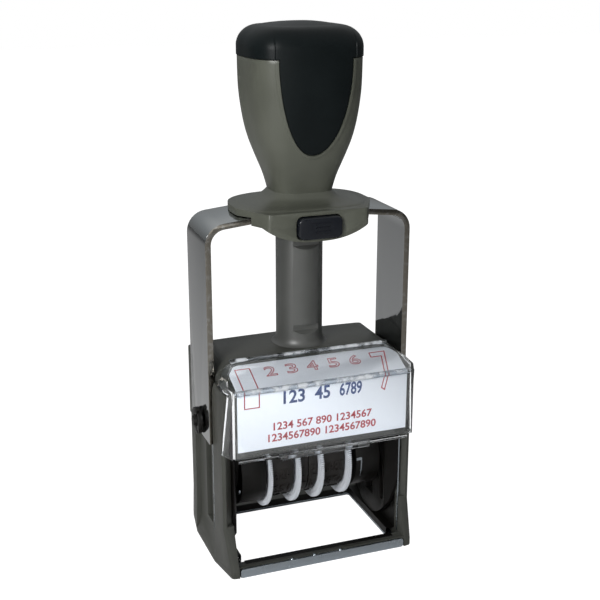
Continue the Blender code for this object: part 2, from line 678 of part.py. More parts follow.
def side_cuts(side):
    """Yoke channel with its ramp, the pivot slot and the guide strip's recess on one side."""
    def slab(x_range, y_range, z_range):
        low_x, high_x = sorted(side * x for x in x_range)
        return block((low_x, y_range[0], z_range[0]), (high_x, y_range[1], z_range[1]))
    out = BASE_HALF_WIDTH + OVERRUN
    ramp = [
        (side * CHANNEL_FLOOR_X, CHANNEL_BOTTOM + OVERRUN),
        (side * CHANNEL_FLOOR_X, CHANNEL_BOTTOM),
        (side * (BASE_HALF_WIDTH + FINE_SOFT), CHANNEL_RAMP_BOTTOM),
        (side * out, CHANNEL_RAMP_BOTTOM),
        (side * out, CHANNEL_BOTTOM + OVERRUN),
    ]
    strip_y = strip_place()
    recess_floor = STRAP_INNER_X - SEAT_GAP - STRIP_THICKNESS - SEAT_GAP
    y_range = (strip_y - STRIP_WIDTH / 2 - SEAT_GAP, strip_y + STRIP_WIDTH / 2 + SEAT_GAP)
    return [
        slab((CHANNEL_FLOOR_X, out), (-CHANNEL_HALF_Y, CHANNEL_HALF_Y),
             (CHANNEL_BOTTOM, HOOD_TOP + OVERRUN)),
        prism(ramp, "y", -CHANNEL_HALF_Y, CHANNEL_HALF_Y),
        slab((CHEEK_INNER_X - OVERRUN, out), (-SLOT_HALF_Y, SLOT_HALF_Y), (SLOT_BOTTOM, SLOT_TOP)),
        slab((recess_floor, out), y_range, (CHANNEL_BOTTOM + OVERLAP, STRIP_TOP + SEAT_GAP)),
    ]


def strip_place():
    """Middle of the guide strip, beside the pivot slot."""
    return -SLOT_HALF_Y - SIDE_GAP - SEAT_GAP - STRIP_WIDTH


def main_frame():
    hole_floor = COLUMN_SEAT - SPIGOT_LENGTH - SEAT_GAP
    tools = frame_hollows() + side_cuts(-1) + side_cuts(1)
    tools.append(rod("z", (0.0, 0.0), SPIGOT_RADIUS + SEAT_GAP, hole_floor, HOOD_TOP + OVERRUN))
    body = join(cheeks(), hood_shell(), hood_core())
    body = cut(body, *tools)
    return place("main_frame", body, frame_grey("frame_moulding"))


def guide_column():
    """Tube with two flats, each under a ledge that the latch catches on and over a ramp."""
    flare = [
        (COLUMN_SEAT - SPIGOT_LENGTH, SPIGOT_RADIUS),
        (COLUMN_SEAT, SPIGOT_RADIUS),
        (COLUMN_SEAT, COLUMN_FLARE_RADIUS),
        (COLUMN_SEAT + COLUMN_FLARE_HEIGHT / 2, COLUMN_RADIUS + FINE_SOFT),
        (COLUMN_SEAT + COLUMN_FLARE_HEIGHT, COLUMN_RADIUS),
        (COLUMN_TOP, COLUMN_RADIUS),
    ]
    tube = turned(flare, "z", (0.0, 0.0))
    tools = [rod("z", (0.0, 0.0), COLUMN_BORE, COLUMN_FLOOR, COLUMN_TOP + OVERRUN)]
    for low, high in (NOTCH_LOW, UPPER_NOTCH):
        reach = COLUMN_RADIUS - NOTCH_FLAT_Y + SEAT_GAP
        notch = [
            (-NOTCH_FLAT_Y, high),
            (-NOTCH_FLAT_Y, low),
            (-NOTCH_FLAT_Y - reach, low - NOTCH_RAMP),
            (-NOTCH_FLAT_Y - reach, high),
        ]
        tools.append(prism(notch, "x", -COLUMN_RADIUS, COLUMN_RADIUS))
    return place("guide_column", cut(tube, *tools), frame_grey("column_moulding"))


def base_ring():
    """Steel lining pressed under the frame, its lips turned up in front and behind."""
    outline = rounded_box(RING_HALF_X, BASE_HALF_DEPTH, CORNER_SOFT)
    plate = prism(outline, "z", 0.0, RING_THICKNESS)
    aperture_half = (APERTURE_FRONT_Y + APERTURE_REAR_Y) / 2
    aperture = rounded_box(APERTURE_HALF_X, aperture_half, CORNER_SOFT,
                           centre=(0.0, APERTURE_REAR_Y - aperture_half))
    plate = cut(plate, prism(aperture, "z", -OVERRUN, OVERRUN))
    lips = []
    for side in (-1, 1):
        low_y, high_y = sorted((side * BASE_HALF_DEPTH, side * (BASE_HALF_DEPTH - RING_LIP_THICKNESS)))
        outline = rounded_box(RING_HALF_X, RING_LIP_HEIGHT / 2, CORNER_SOFT,
                              centre=(0.0, RING_LIP_HEIGHT / 2))
        lips.append(prism(outline, "y", low_y, high_y))
    return place("base_ring", join(plate, *lips), chrome("ring_steel"))


def guide_strip(name, side):
    middle = strip_place()
    outer = side * (STRAP_INNER_X - SEAT_GAP)
    inner = outer - side * STRIP_THICKNESS
    low_x, high_x = sorted((outer, inner))
    low = (low_x, middle - STRIP_WIDTH / 2, CHANNEL_BOTTOM + OVERLAP + SEAT_GAP)
    high = (high_x, middle + STRIP_WIDTH / 2, STRIP_TOP)
    return place(name, block(low, high), chrome(name + "_steel"))


def cam_path():
    """Places of the cam pin, seen along X, as the platen turns over on its way down."""
    points = []
    for step in range(CAM_PATH_STEPS + 1):
        turn = FLIP_ANGLE * step / CAM_PATH_STEPS
        pivot = PIVOT_HEIGHT - PRESS_TRAVEL * turn / FLIP_ANGLE
        points.append((CAM_PIN_ORBIT * math.cos(turn), pivot + CAM_PIN_ORBIT * math.sin(turn)))
    return points


def cam_groove(start, end):
    """Follow the cam path with a groove that has round ends."""
    path = cam_path()
    left, right, aims = [], [], []
    for at, point in enumerate(path):
        before, after = path[max(at - 1, 0)], path[min(at + 1, len(path) - 1)]
        run = (Vector(after) - Vector(before)).normalized()
        aims.append(math.degrees(math.atan2(run.y, run.x)))
        left.append((point[0] - run.y * GROOVE_HALF, point[1] + run.x * GROOVE_HALF))
        right.append((point[0] + run.y * GROOVE_HALF, point[1] - run.x * GROOVE_HALF))
    tail = arc(path[0], GROOVE_HALF, aims[0] + 90, aims[0] + 270, CAM_END_STEPS)[1:-1]
    nose = arc(path[-1], GROOVE_HALF, aims[-1] - 90, aims[-1] + 90, CAM_END_STEPS)[1:-1]
    return prism(tail + right + nose + left[::-1], "x", start, end)


def cam_plate(name, side):
    """Inner wall with the groove that turns the platen over and the slot for the pivot shaft."""
    low_x, high_x = sorted((side * CAM_INNER_X, side * CAM_OUTER_X))
    rise = CAM_END_BOTTOM - CAM_MIDDLE_BOTTOM
    bottom_shares = [step / CAM_BOTTOM_STEPS for step in range(-CAM_BOTTOM_STEPS, CAM_BOTTOM_STEPS + 1)]
    outline = [(CAM_HALF_DEPTH * s, CAM_MIDDLE_BOTTOM + rise * s * s) for s in bottom_shares]
    outline += [(CAM_HALF_DEPTH, CAM_TOP), (-CAM_HALF_DEPTH, CAM_TOP)]
    plate = prism(outline, "x", low_x, high_x)
    slot = block((low_x - OVERRUN, -SLOT_HALF_Y, SLOT_BOTTOM), (high_x + OVERRUN, SLOT_HALF_Y, SLOT_TOP))
    groove = cam_groove(low_x - OVERRUN, high_x + OVERRUN)
    return place(name, cut(plate, slot, groove), black_plastic(name + "_moulding"))


def cover_plan(inset):
    """Plan outline of the index cover, bevelled at its front and rear corners."""
    front_x = COVER_FRONT_X - inset
    side_x = COVER_SIDE_X - inset
    front = COVER_OUTER_Y - inset
    rear = COVER_REAR_Y + inset
    half = [
        (front_x, -front),
        (side_x, -COVER_SIDE_BOTTOM_Y),
        (side_x, -rear - COVER_CHAMFER),
        (side_x - COVER_CHAMFER, -rear),
    ]
    return half + [(-x, y) for x, y in reversed(half)]


def knee_arc():
    """Rounded corner, seen from the side, where the cover's front turns into its sloping top."""
    slope = math.atan2(COVER_REAR_HEIGHT - COVER_KNEE_HEIGHT, COVER_OUTER_Y - COVER_REAR_Y)
    run = COVER_KNEE_RADIUS * math.tan((math.pi / 2 - slope) / 2)
    centre = (COVER_KNEE_RADIUS - COVER_OUTER_Y, COVER_KNEE_HEIGHT - run)
    return arc(centre, COVER_KNEE_RADIUS, 90 + math.degrees(slope), 180, COVER_KNEE_STEPS)


def index_cover():
    """Clear cover clipped over the front of the hood."""
    side = [
        (-COVER_OUTER_Y, WINDOW_BOTTOM),
        (-COVER_SIDE_BOTTOM_Y, WINDOW_BOTTOM),
        (-COVER_SIDE_TOP_Y, COVER_SKIRT_HEIGHT),
        (-COVER_REAR_Y, COVER_SKIRT_HEIGHT + SIDE_GAP),
        (-COVER_REAR_Y, COVER_REAR_HEIGHT),
    ]
    side += knee_arc()
    outer = common(prism(side, "x", -BASE_HALF_WIDTH, BASE_HALF_WIDTH),
                   prism(cover_plan(0.0), "z", 0.0, 2 * HOOD_TOP), crown(0.0))
    tab_low = (-TAB_HALF_WIDTH, -COVER_OUTER_Y, WINDOW_BOTTOM - TAB_DROP)
    outer = join(outer, block(tab_low, (TAB_HALF_WIDTH, -COVER_INNER_Y, WINDOW_BOTTOM + OVERRUN)))
    low = WINDOW_BOTTOM - OVERRUN
    hollow_side = [
        (-COVER_INNER_Y, low),
        (0.0, low),
        (0.0, slope_height(0.0, COVER_WALL)),
        (-COVER_INNER_Y, slope_height(COVER_INNER_Y, COVER_WALL)),
    ]
    hollow_plan = [(x, y) for x, y in cover_plan(COVER_WALL)[:2]]
    hollow_plan.append((hollow_plan[1][0], 0.0))
    hollow_plan += [(-x, y) for x, y in reversed(hollow_plan)]
    hollow = common(prism(hollow_side, "x", -BASE_HALF_WIDTH, BASE_HALF_WIDTH),
                    prism(hollow_plan, "z", 0.0, 2 * HOOD_TOP), crown(COVER_WALL))
    return place("index_cover", cut(outer, hollow), finish("clear_acrylic", "EEF2F4", 0.08, 0.0, 0.35))


def index_card():
    """White card folded over the front and slope of the hood."""
    outer, inner = COVER_WALL + SEAT_GAP, CARD_STACK - SEAT_GAP
    back_y = CARD_FRONT_Y - CARD_THICKNESS
    side = [
        (-CARD_FRONT_Y, CARD_BOTTOM),
        (-back_y, CARD_BOTTOM),
        (-back_y, slope_height(back_y, inner)),
        (-CARD_REAR_Y, slope_height(CARD_REAR_Y, inner)),
        (-CARD_REAR_Y, slope_height(CARD_REAR_Y, outer)),
        (-CARD_FRONT_Y, slope_height(CARD_FRONT_Y, outer)),
    ]
    sheet = common(prism(side, "x", -CARD_HALF_WIDTH, CARD_HALF_WIDTH), crown(outer))
    return place("index_card", sheet, finish("card_white", "E4E7EC", 0.6, 0.0))


def ink_tray():
    """Upside-down tray that slides out behind, with a finger rim."""
    rear = BASE_HALF_DEPTH - RIM_REACH
    wall_x = TRAY_HALF_X - TRAY_WALL
    body = block((-TRAY_HALF_X, -TRAY_FRONT_Y, PAD_BOTTOM), (TRAY_HALF_X, rear, TRAY_TOP))
    flange = block((-TRAY_FLANGE_X, -TRAY_FRONT_Y, PAD_BOTTOM),
                   (TRAY_FLANGE_X, rear, PAD_BOTTOM + TRAY_FLANGE_HEIGHT))
    rim = block((-RIM_HALF_X, rear - OVERRUN, PAD_BOTTOM), (RIM_HALF_X, BASE_HALF_DEPTH, TRAY_TOP))
    pocket = block((-wall_x, -TRAY_FRONT_Y + TRAY_WALL, PAD_BOTTOM - OVERRUN),
                   (wall_x, TRAY_FRONT_Y - TRAY_WALL, TRAY_TOP - TRAY_WALL))
    return place("ink_tray", cut(join(body, flange, rim), pocket), black_plastic("tray_moulding"))


def ink_pad():
    half_x = TRAY_HALF_X - TRAY_WALL - SEAT_GAP
    half_y = TRAY_FRONT_Y - TRAY_WALL - SEAT_GAP
    outline = rounded_box(half_x, half_y, CORNER_SOFT)
    pad = prism(outline, "z", PAD_BOTTOM, TRAY_TOP - TRAY_WALL - SEAT_GAP)
    return place("ink_pad", pad, finish("inked_felt", "1B2238", 0.9, 0.0))


def strap_line(x, inset):
    """Height of the yoke's pitched top at a distance from its middle."""
    return STRAP_PEAK_HEIGHT - abs(x) * math.tan(STRAP_PITCH) - inset / math.cos(STRAP_PITCH)


def strap_half(inset):
    """Half of the strap's outline, from the leg's end over the bend to the peak."""
    leg_x = STRAP_OUTER_X - inset
    centre_x = STRAP_OUTER_X - STRAP_BEND_RADIUS
    end_angle = 90 - math.degrees(STRAP_PITCH)
    bend_end_x = centre_x + STRAP_BEND_RADIUS * math.cos(math.radians(end_angle))
    centre_z = strap_line(bend_end_x, 0.0) - STRAP_BEND_RADIUS * math.sin(math.radians(end_angle))
    bend = arc((centre_x, centre_z), STRAP_BEND_RADIUS - inset, 0, end_angle, STRAP_BEND_STEPS)
    return [(leg_x, STRAP_LEG_BOTTOM)] + bend + [(0.0, strap_line(0.0, inset))]


def yoke():
    """Chromed strap bent over the frame, bored for the column, the screws and the pivot shaft."""
    outer, inner = strap_half(0.0), strap_half(STRAP_THICKNESS)
    outline = outer + [(-x, z) for x, z in reversed(outer[:-1])]
    outline += [(-x, z) for x, z in inner] + list(reversed(inner[:-1]))
    strap = prism(outline, "y", -STRAP_HALF_DEPTH, STRAP_HALF_DEPTH)
    hole_low, hole_high = strap_line(SCREW_X, STRAP_THICKNESS + OVERRUN), STRAP_PEAK_HEIGHT + OVERRUN
    tools = [rod("z", (0.0, 0.0), COLLAR_BORE + SEAT_GAP, hole_low, hole_high)]
    for side in (-1, 1):
        tools.append(rod("z", (side * SCREW_X, 0.0), SCREW_HOLE, hole_low, hole_high, SMALL_STEPS))
    tools.append(rod("x", (0.0, PIVOT_HEIGHT), SHAFT_BORE,
                     -2 * STRAP_OUTER_X, 2 * STRAP_OUTER_X, SMALL_STEPS))
    return soften(place("yoke", cut(strap, *tools), chrome("strap_chrome")), FINE_SOFT)


def yoke_screw(name, side):
    """Screw that holds the strap up into the collar."""
    head_top = strap_line(SCREW_X + SCREW_HEAD_RADIUS, STRAP_THICKNESS + SEAT_GAP)
    profile = [
        (head_top - SCREW_HEAD_HEIGHT, SCREW_HEAD_RADIUS - FINE_SOFT),
        (head_top - SCREW_HEAD_HEIGHT + FINE_SOFT, SCREW_HEAD_RADIUS),
        (head_top, SCREW_HEAD_RADIUS),
        (head_top, SCREW_RADIUS),
        (SCREW_TOP, SCREW_RADIUS),
    ]
    return place(name, turned(profile, "z", (side * SCREW_X, 0.0), SMALL_STEPS), chrome(name + "_steel"))


def grip_rings(offset, top):
    """Rounded-square rings from the waist up to the cap, grown by an offset."""
    rings = []
    for up, out in zip(GRIP_HEIGHT_SHARES, GRIP_SPREAD_SHARES):
        half_x = GRIP_NECK[0] + (GRIP_SHOULDER[0] - GRIP_NECK[0]) * out + offset
        half_y = GRIP_NECK[1] + (GRIP_SHOULDER[1] - GRIP_NECK[1]) * out + offset
        rings.append(squircle(half_x, half_y, GRIP_WAIST_HEIGHT + (top - GRIP_WAIST_HEIGHT) * up))
    return rings


def collar_fillet():
    """Rings of the cove between the collar's top and the waist."""
    rings = []
    for up, out in FILLET_SHARES:
        half_x = GRIP_NECK[0] + (FILLET_HALF_X - GRIP_NECK[0]) * out
        half_y = GRIP_NECK[1] + (FILLET_HALF_Y - GRIP_NECK[1]) * out
        rings.append(squircle(half_x, half_y, COLLAR_TOP + (GRIP_WAIST_HEIGHT - COLLAR_TOP) * up))
    return rings


def collar_block():
    """Broad collar with an apron that drops in front and behind."""
    plan = []
    for side_x in (-1, 1):
        for side_y in (-1, 1):
            centre_x = side_x * (COLLAR_HALF_X - COLLAR_END_RADIUS)
            centre_y = side_y * (COLLAR_END_HALF_Y - COLLAR_END_RADIUS)
            plan += circle((centre_x, centre_y), COLLAR_END_RADIUS)
            plan.append((side_x * COLLAR_FACE_HALF_X, side_y * COLLAR_HALF_Y))
    plan = hull(plan)
    side = [(2 * COLLAR_HALF_X, COLLAR_END_BOTTOM)]
    for step in range(APRON_STEPS, -APRON_STEPS - 1, -1):
        share = step / APRON_STEPS
        height = APRON_BOTTOM + APRON_DROP * abs(share) ** APRON_CURVE
        side.append((COLLAR_HALF_X * APRON_HALF_SHARE * share, height))
    side += [(-2 * COLLAR_HALF_X, height) for height in (COLLAR_END_BOTTOM, COLLAR_TOP)]
    side.append((2 * COLLAR_HALF_X, COLLAR_TOP))
    return common(prism(plan, "z", APRON_BOTTOM - OVERRUN, COLLAR_TOP + OVERRUN),
                  prism(side, "y", -2 * COLLAR_HALF_Y, 2 * COLLAR_HALF_Y))


def tongue_outline(grow):
    """Outline of the cap's tongue, half an ellipse that hangs from the cap."""
    rise = CAP_BOTTOM - TONGUE_TIP_HEIGHT
    half = [(0.0, TONGUE_TIP_HEIGHT - grow)]
    for step in range(1, TONGUE_STEPS + 1):
        angle = math.pi / 2 * step / TONGUE_STEPS
        across, up = math.sin(angle), 1 - math.cos(angle)
        half.append(((TONGUE_HALF_WIDTH + grow) * across, TONGUE_TIP_HEIGHT - grow + (rise + grow) * up))
    half.append((TONGUE_HALF_WIDTH + grow, CAP_BOTTOM + OVERLAP))
    return half + [(-x, z) for x, z in reversed(half[1:])]


def tongue_prism(grow):
    return prism(tongue_outline(grow), "y", -2 * GRIP_SHOULDER[1], -GRIP_NECK[1] / 2)


def button_pocket():
    """Pocket and latch hole of the lock button in the collar's front apron."""
    half_x = BUTTON_HALF_WIDTH + SEAT_GAP
    pocket = block((-half_x, -2 * COLLAR_HALF_Y, BUTTON_BOTTOM - SEAT_GAP),
                   (half_x, POCKET_REAR_Y, BUTTON_TOP + SEAT_GAP))
    latch_x = LATCH_HALF_WIDTH + SEAT_GAP
    hole = block((-latch_x, POCKET_REAR_Y - OVERRUN, LATCH_BOTTOM - SEAT_GAP),
                 (latch_x, -STRAP_HALF_DEPTH + OVERRUN, LATCH_TOP + SEAT_GAP))
    return [pocket, hole]


def handle_grip():
    """Grip, waist and collar in one moulding."""
    bulb = loft(collar_fillet() + grip_rings(0.0, CAP_BOTTOM - SEAT_GAP)[1:])
    body = join(collar_block(), bulb)
    far_x = 2 * STRAP_OUTER_X
    tunnel = [
        (far_x, strap_line(far_x, -SEAT_GAP)),
        (0.0, strap_line(0.0, -SEAT_GAP)),
        (-far_x, strap_line(far_x, -SEAT_GAP)),
        (-far_x, APRON_BOTTOM - COLLAR_HALF_X),
        (far_x, APRON_BOTTOM - COLLAR_HALF_X),
    ]
    recess = cut(tongue_prism(SEAT_GAP),
                 loft(grip_rings(CAP_PROUD - TONGUE_THICKNESS - SEAT_GAP, CAP_BOTTOM + OVERRUN)))
    tools = [
        prism(tunnel, "y", -CHANNEL_HALF_Y, CHANNEL_HALF_Y),
        rod("z", (0.0, 0.0), COLLAR_BORE, APRON_BOTTOM - OVERRUN, BORE_CEILING),
        recess,
    ]
    for side in (-1, 1):
        tools.append(rod("z", (side * SCREW_X, 0.0), SCREW_HOLE,
                         APRON_BOTTOM, SCREW_TOP + SEAT_GAP, SMALL_STEPS))
    return place("handle_grip", cut(body, *tools, *button_pocket()), grip_grey("grip_moulding"))


def handle_cap():
    """Black cap with a tongue inlaid down the front of the grip."""
    half_x, half_y = GRIP_SHOULDER[0] + CAP_PROUD, GRIP_SHOULDER[1] + CAP_PROUD
    rings = [squircle(half_x, half_y, CAP_BOTTOM)]
    edge_start = HANDLE_TOP - CAP_CROWN - CAP_EDGE_RADIUS
    for step in range(CAP_EDGE_STEPS + 1):
        angle = math.radians(90 * step / CAP_EDGE_STEPS)
        inset = CAP_EDGE_RADIUS * (1 - math.cos(angle))
        height = edge_start + CAP_EDGE_RADIUS * math.sin(angle)
        rings.append(squircle(half_x - inset, half_y - inset, height))
    flat_x, flat_y = half_x - CAP_EDGE_RADIUS, half_y - CAP_EDGE_RADIUS
    for out, up in CAP_CROWN_SHARES:
        rings.append(squircle(flat_x * out, flat_y * out, HANDLE_TOP - CAP_CROWN + CAP_CROWN * up))
    tongue = common(loft(grip_rings(CAP_PROUD, CAP_BOTTOM + OVERLAP)), tongue_prism(0.0))
    tongue = cut(tongue, loft(grip_rings(CAP_PROUD - TONGUE_THICKNESS, CAP_BOTTOM + OVERRUN)))
    return place("handle_cap", join(loft(rings), tongue), black_plastic("cap_moulding"))


def lock_button():
    """Ribbed thumb button with the latch that drops into the column's notches."""
    centre = (0.0, (BUTTON_BOTTOM + BUTTON_TOP) / 2)
    half_z = (BUTTON_TOP - BUTTON_BOTTOM) / 2
    key = prism(rounded_box(BUTTON_HALF_WIDTH, half_z, half_z / 2, centre=centre), "y",
                BUTTON_FRONT_Y, BUTTON_REAR_Y)
    latch = block((-LATCH_HALF_WIDTH, BUTTON_REAR_Y - OVERLAP, LATCH_BOTTOM),
                  (LATCH_HALF_WIDTH, LATCH_TIP_Y, LATCH_TOP))
    ribs = []
    spacing = BUTTON_HEIGHT / (BUTTON_RIBS + 1)
    for at in range(BUTTON_RIBS):
        middle = BUTTON_BOTTOM + spacing * (at + 1)
        low = (-BUTTON_RIB_HALF_LENGTH, BUTTON_FRONT_Y - BUTTON_RIB_HEIGHT, middle - spacing / 4)
        ribs.append(block(low, (BUTTON_RIB_HALF_LENGTH, BUTTON_FRONT_Y + OVERLAP, middle + spacing / 4)))
    return place("lock_button", join(key, latch, *ribs), black_plastic("button_moulding"))


def return_spring():
    """Coil spring from the column's floor to the rod's head, one unbroken tube."""
    low = COLUMN_FLOOR + SEAT_GAP + SPRING_WIRE
    high = BORE_CEILING - SEAT_GAP - ROD_HEAD_HEIGHT - SEAT_GAP - SPRING_WIRE
    steps = SPRING_TURNS * SPRING_TURN_POINTS
    rings = []
    for step in range(steps + 1):
        angle = 2 * math.pi * step / SPRING_TURN_POINTS
        out = Vector((math.cos(angle), math.sin(angle), 0.0))
        centre = out * SPRING_RADIUS + Vector((0.0, 0.0, low + (high - low) * step / steps))
        ring = []
        for at in range(SPRING_SIDES):
            tilt = 2 * math.pi * at / SPRING_SIDES
            ring.append(centre + (out * math.cos(tilt) + Vector((0.0, 0.0, math.sin(tilt)))) * SPRING_WIRE)
        rings.append(ring)
    least_gap = (high - low) / SPRING_TURNS - 2 * SPRING_WIRE
    print(f"return_spring least gap between turns {least_gap * 1000:.2f} mm")
    return place("return_spring", loft(rings), finish("spring_steel", "8E9092", 0.35, 1.0))


def plunger_rod():
    """Rod that guides the spring, with the head that the spring pushes on."""
    top = BORE_CEILING - SEAT_GAP
    profile = [
        (top - ROD_LENGTH, ROD_RADIUS - EDGE_SOFT),
        (top - ROD_LENGTH + EDGE_SOFT, ROD_RADIUS),
        (top - ROD_HEAD_HEIGHT, ROD_RADIUS),
        (top - ROD_HEAD_HEIGHT, ROD_HEAD_RADIUS),
        (top, ROD_HEAD_RADIUS),
    ]
    rod_mesh = turned(profile, "z", (0.0, 0.0), SMALL_STEPS)
    return place("plunger_rod", rod_mesh, finish("rod_steel", "A5A7A8", 0.3, 1.0))


def pivot_shaft():
    """Shaft through the yoke's legs and the platen, stepped down to a nose at each end."""
    step_x = STRAP_OUTER_X + FINE_SOFT
    half = [(SHAFT_NOSE_X, SHAFT_NOSE_RADIUS), (step_x, SHAFT_NOSE_RADIUS), (step_x, SHAFT_RADIUS)]
    profile = [(-x, radius) for x, radius in half] + half[::-1]
    shaft = turned(profile, "x", (0.0, PIVOT_HEIGHT), SMALL_STEPS)
    return place("pivot_shaft", shaft, finish("shaft_black_steel", "23211F", 0.35, 0.6))


def pivot_hub(name, side):
    """Slotted hub that keeps the yoke's leg on the shaft."""
    inner_x = STRAP_OUTER_X + SEAT_GAP
    low_x, high_x = sorted((side * inner_x, side * (inner_x + HUB_WIDTH)))
    ring = rod("x", (0.0, PIVOT_HEIGHT), HUB_RADIUS, low_x, high_x)
    bore = rod("x", (0.0, PIVOT_HEIGHT), HUB_BORE, low_x - OVERRUN, high_x + OVERRUN, SMALL_STEPS)
    slot_ends = (inner_x + HUB_WIDTH - HUB_SLOT_DEPTH, inner_x + 2 * HUB_WIDTH)
    face_low, face_high = sorted(side * x for x in slot_ends)
    slots = []
    for at in range(HUB_SLOTS):
        slot = block((face_low, 0.0, -HUB_SLOT_WIDTH / 2), (face_high, 2 * HUB_RADIUS, HUB_SLOT_WIDTH / 2))
        slot.transform(Matrix.Rotation(2 * math.pi * at / HUB_SLOTS, 4, "X"))
        slot.transform(Matrix.Translation((0.0, 0.0, PIVOT_HEIGHT)))
        slots.append(slot)
    return place(name, cut(ring, bore, *slots), black_plastic(name + "_moulding"), (0.0, 0.0, PIVOT_HEIGHT))


def window_range():
    """Left and right ends of the opening that the date bands print through."""
    return BAND_START_X - SIDE_GAP, WHEELS_END_X - WHEEL_DISC_WIDTH + SIDE_GAP


def platen_carrier():
    """Turning frame: deck, cheeks, end blocks and the cam pins."""
    pivot, axle = (0.0, PIVOT_HEIGHT), (0.0, WHEEL_HEIGHT)
    deck = prism(rounded_box(DIE_HALF_X, DIE_HALF_Y, CORNER_SOFT), "z", DECK_BOTTOM, DECK_TOP)
    waist = []
    for side in (-1, 1):
        waist += circle((side * CAM_PIN_ORBIT, PIVOT_HEIGHT), CAM_BOSS_RADIUS, SMALL_STEPS)
        waist += [(side * (CAM_PIN_ORBIT + CAM_BOSS_RADIUS), z) for z in (DECK_BOTTOM, DECK_TOP)]
    cheek = hull(waist + circle(axle, CARRIER_FOOT_RADIUS))
    web = hull(circle(pivot, END_BLOCK_TOP_RADIUS, SMALL_STEPS) + circle(axle, END_BLOCK_RADIUS))
    solids, bores = [], []
    for side, wheel_x, spacer in ((-1, -WHEEL_START_X, LEFT_SPACER), (1, WHEELS_END_X, RIGHT_SPACER)):
        def span(near, far):
            return sorted((side * near, side * far))
        face = wheel_x + spacer
        inside = CARRIER_HALF_X - CARRIER_CHEEK
        solids.append(prism(cheek, "x", *span(inside, CARRIER_HALF_X)))
        solids.append(prism(web, "x", *span(face, inside + CARRIER_CHEEK / 2)))
        solids.append(rod("x", axle, BOSS_RADIUS, *span(wheel_x + SEAT_GAP, face + SIDE_GAP), SMALL_STEPS))
        solids.append(rod("x", (CAM_PIN_ORBIT, PIVOT_HEIGHT), CAM_PIN_RADIUS,
                          *span(inside, CAM_OUTER_X - SEAT_GAP), SMALL_STEPS))
        bores.append(rod("x", pivot, SHAFT_BORE, *span(0.0, 2 * CARRIER_HALF_X), SMALL_STEPS))
        bores.append(rod("x", axle, AXLE_HALF_BORE, *span(0.0, AXLE_HALF_LENGTH + SEAT_GAP), SMALL_STEPS))
    left, right = window_range()
    window = block((left, -WINDOW_HALF_Y, DECK_BOTTOM - OVERRUN), (right, WINDOW_HALF_Y, DECK_TOP + OVERRUN))
    body = cut(join(deck, *solids), window, *bores)
    return place("platen_carrier", body, black_plastic("carrier_moulding"), (0.0, 0.0, PIVOT_HEIGHT))


def text_plate():
    """Rubber plate round the dates, its corners rounded."""
    outline = rounded_box(DIE_HALF_X, DIE_HALF_Y, CORNER_SOFT)
    plate = prism(outline, "z", PLATE_BOTTOM, DIE_FACE_HEIGHT)
    left, right = window_range()
    window = block((left, -WINDOW_HALF_Y, PLATE_BOTTOM - OVERRUN),
                   (right, WINDOW_HALF_Y, DIE_FACE_HEIGHT + OVERRUN))
    shade = finish("text_rubber", "8C3B34", 0.7, 0.0)
    return place("text_plate", cut(plate, window), shade, (0.0, 0.0, PIVOT_HEIGHT))


def band_bridge():
    """Anvil that backs the date bands where they print."""
    half_y = BAND_TOP_HALF - BAND_THICKNESS - SEAT_GAP
    top = BAND_TOP - BAND_THICKNESS - SEAT_GAP
    low = DECK_BOTTOM - SEAT_GAP - BRIDGE_HEIGHT
    half_x = CARRIER_HALF_X - CARRIER_CHEEK - SEAT_GAP
    bar = block((-half_x, -half_y, low), (half_x, half_y, DECK_BOTTOM - SEAT_GAP))
    left, right = window_range()
    crest_shape = rounded_box(half_y, BRIDGE_HEIGHT, BAND_CORNER_RADIUS / 2,
                              centre=(0.0, top - BRIDGE_HEIGHT))
    crest = prism(crest_shape, "x", left + SEAT_GAP, right - SEAT_GAP)
    shade = finish("bridge_moulding", "C9C6BD", 0.5, 0.0)
    return place("band_bridge", join(bar, crest), shade, (0.0, 0.0, PIVOT_HEIGHT))


def wheel_axle():
    bar = rod("x", (0.0, WHEEL_HEIGHT), AXLE_RADIUS, -AXLE_HALF_LENGTH, AXLE_HALF_LENGTH, SMALL_STEPS)
    return place("wheel_axle", bar, finish("axle_steel", "A5A7A8", 0.3, 1.0), (0.0, 0.0, WHEEL_HEIGHT))


def band_outline(inset):
    """Loop of a date band, from its drum up over the bridge."""
    shoulder = BAND_TOP_HALF - BAND_CORNER_RADIUS
    points = circle((0.0, WHEEL_HEIGHT), BAND_DRUM_RADIUS - inset)
    for side in (-1, 1):
        corner = (side * shoulder, BAND_TOP - BAND_CORNER_RADIUS)
        points += circle(corner, BAND_CORNER_RADIUS - inset, SMALL_STEPS)
    return hull(points)


def date_band(name, start, end):
    loop = prism(band_outline(0.0), "x", start, end)
    hollow = prism(band_outline(BAND_THICKNESS), "x", start - OVERRUN, end + OVERRUN)
    shade = finish(name + "_rubber", "2A2622", 0.6, 0.0)
    return place(name, cut(loop, hollow), shade, (0.0, 0.0, PIVOT_HEIGHT))


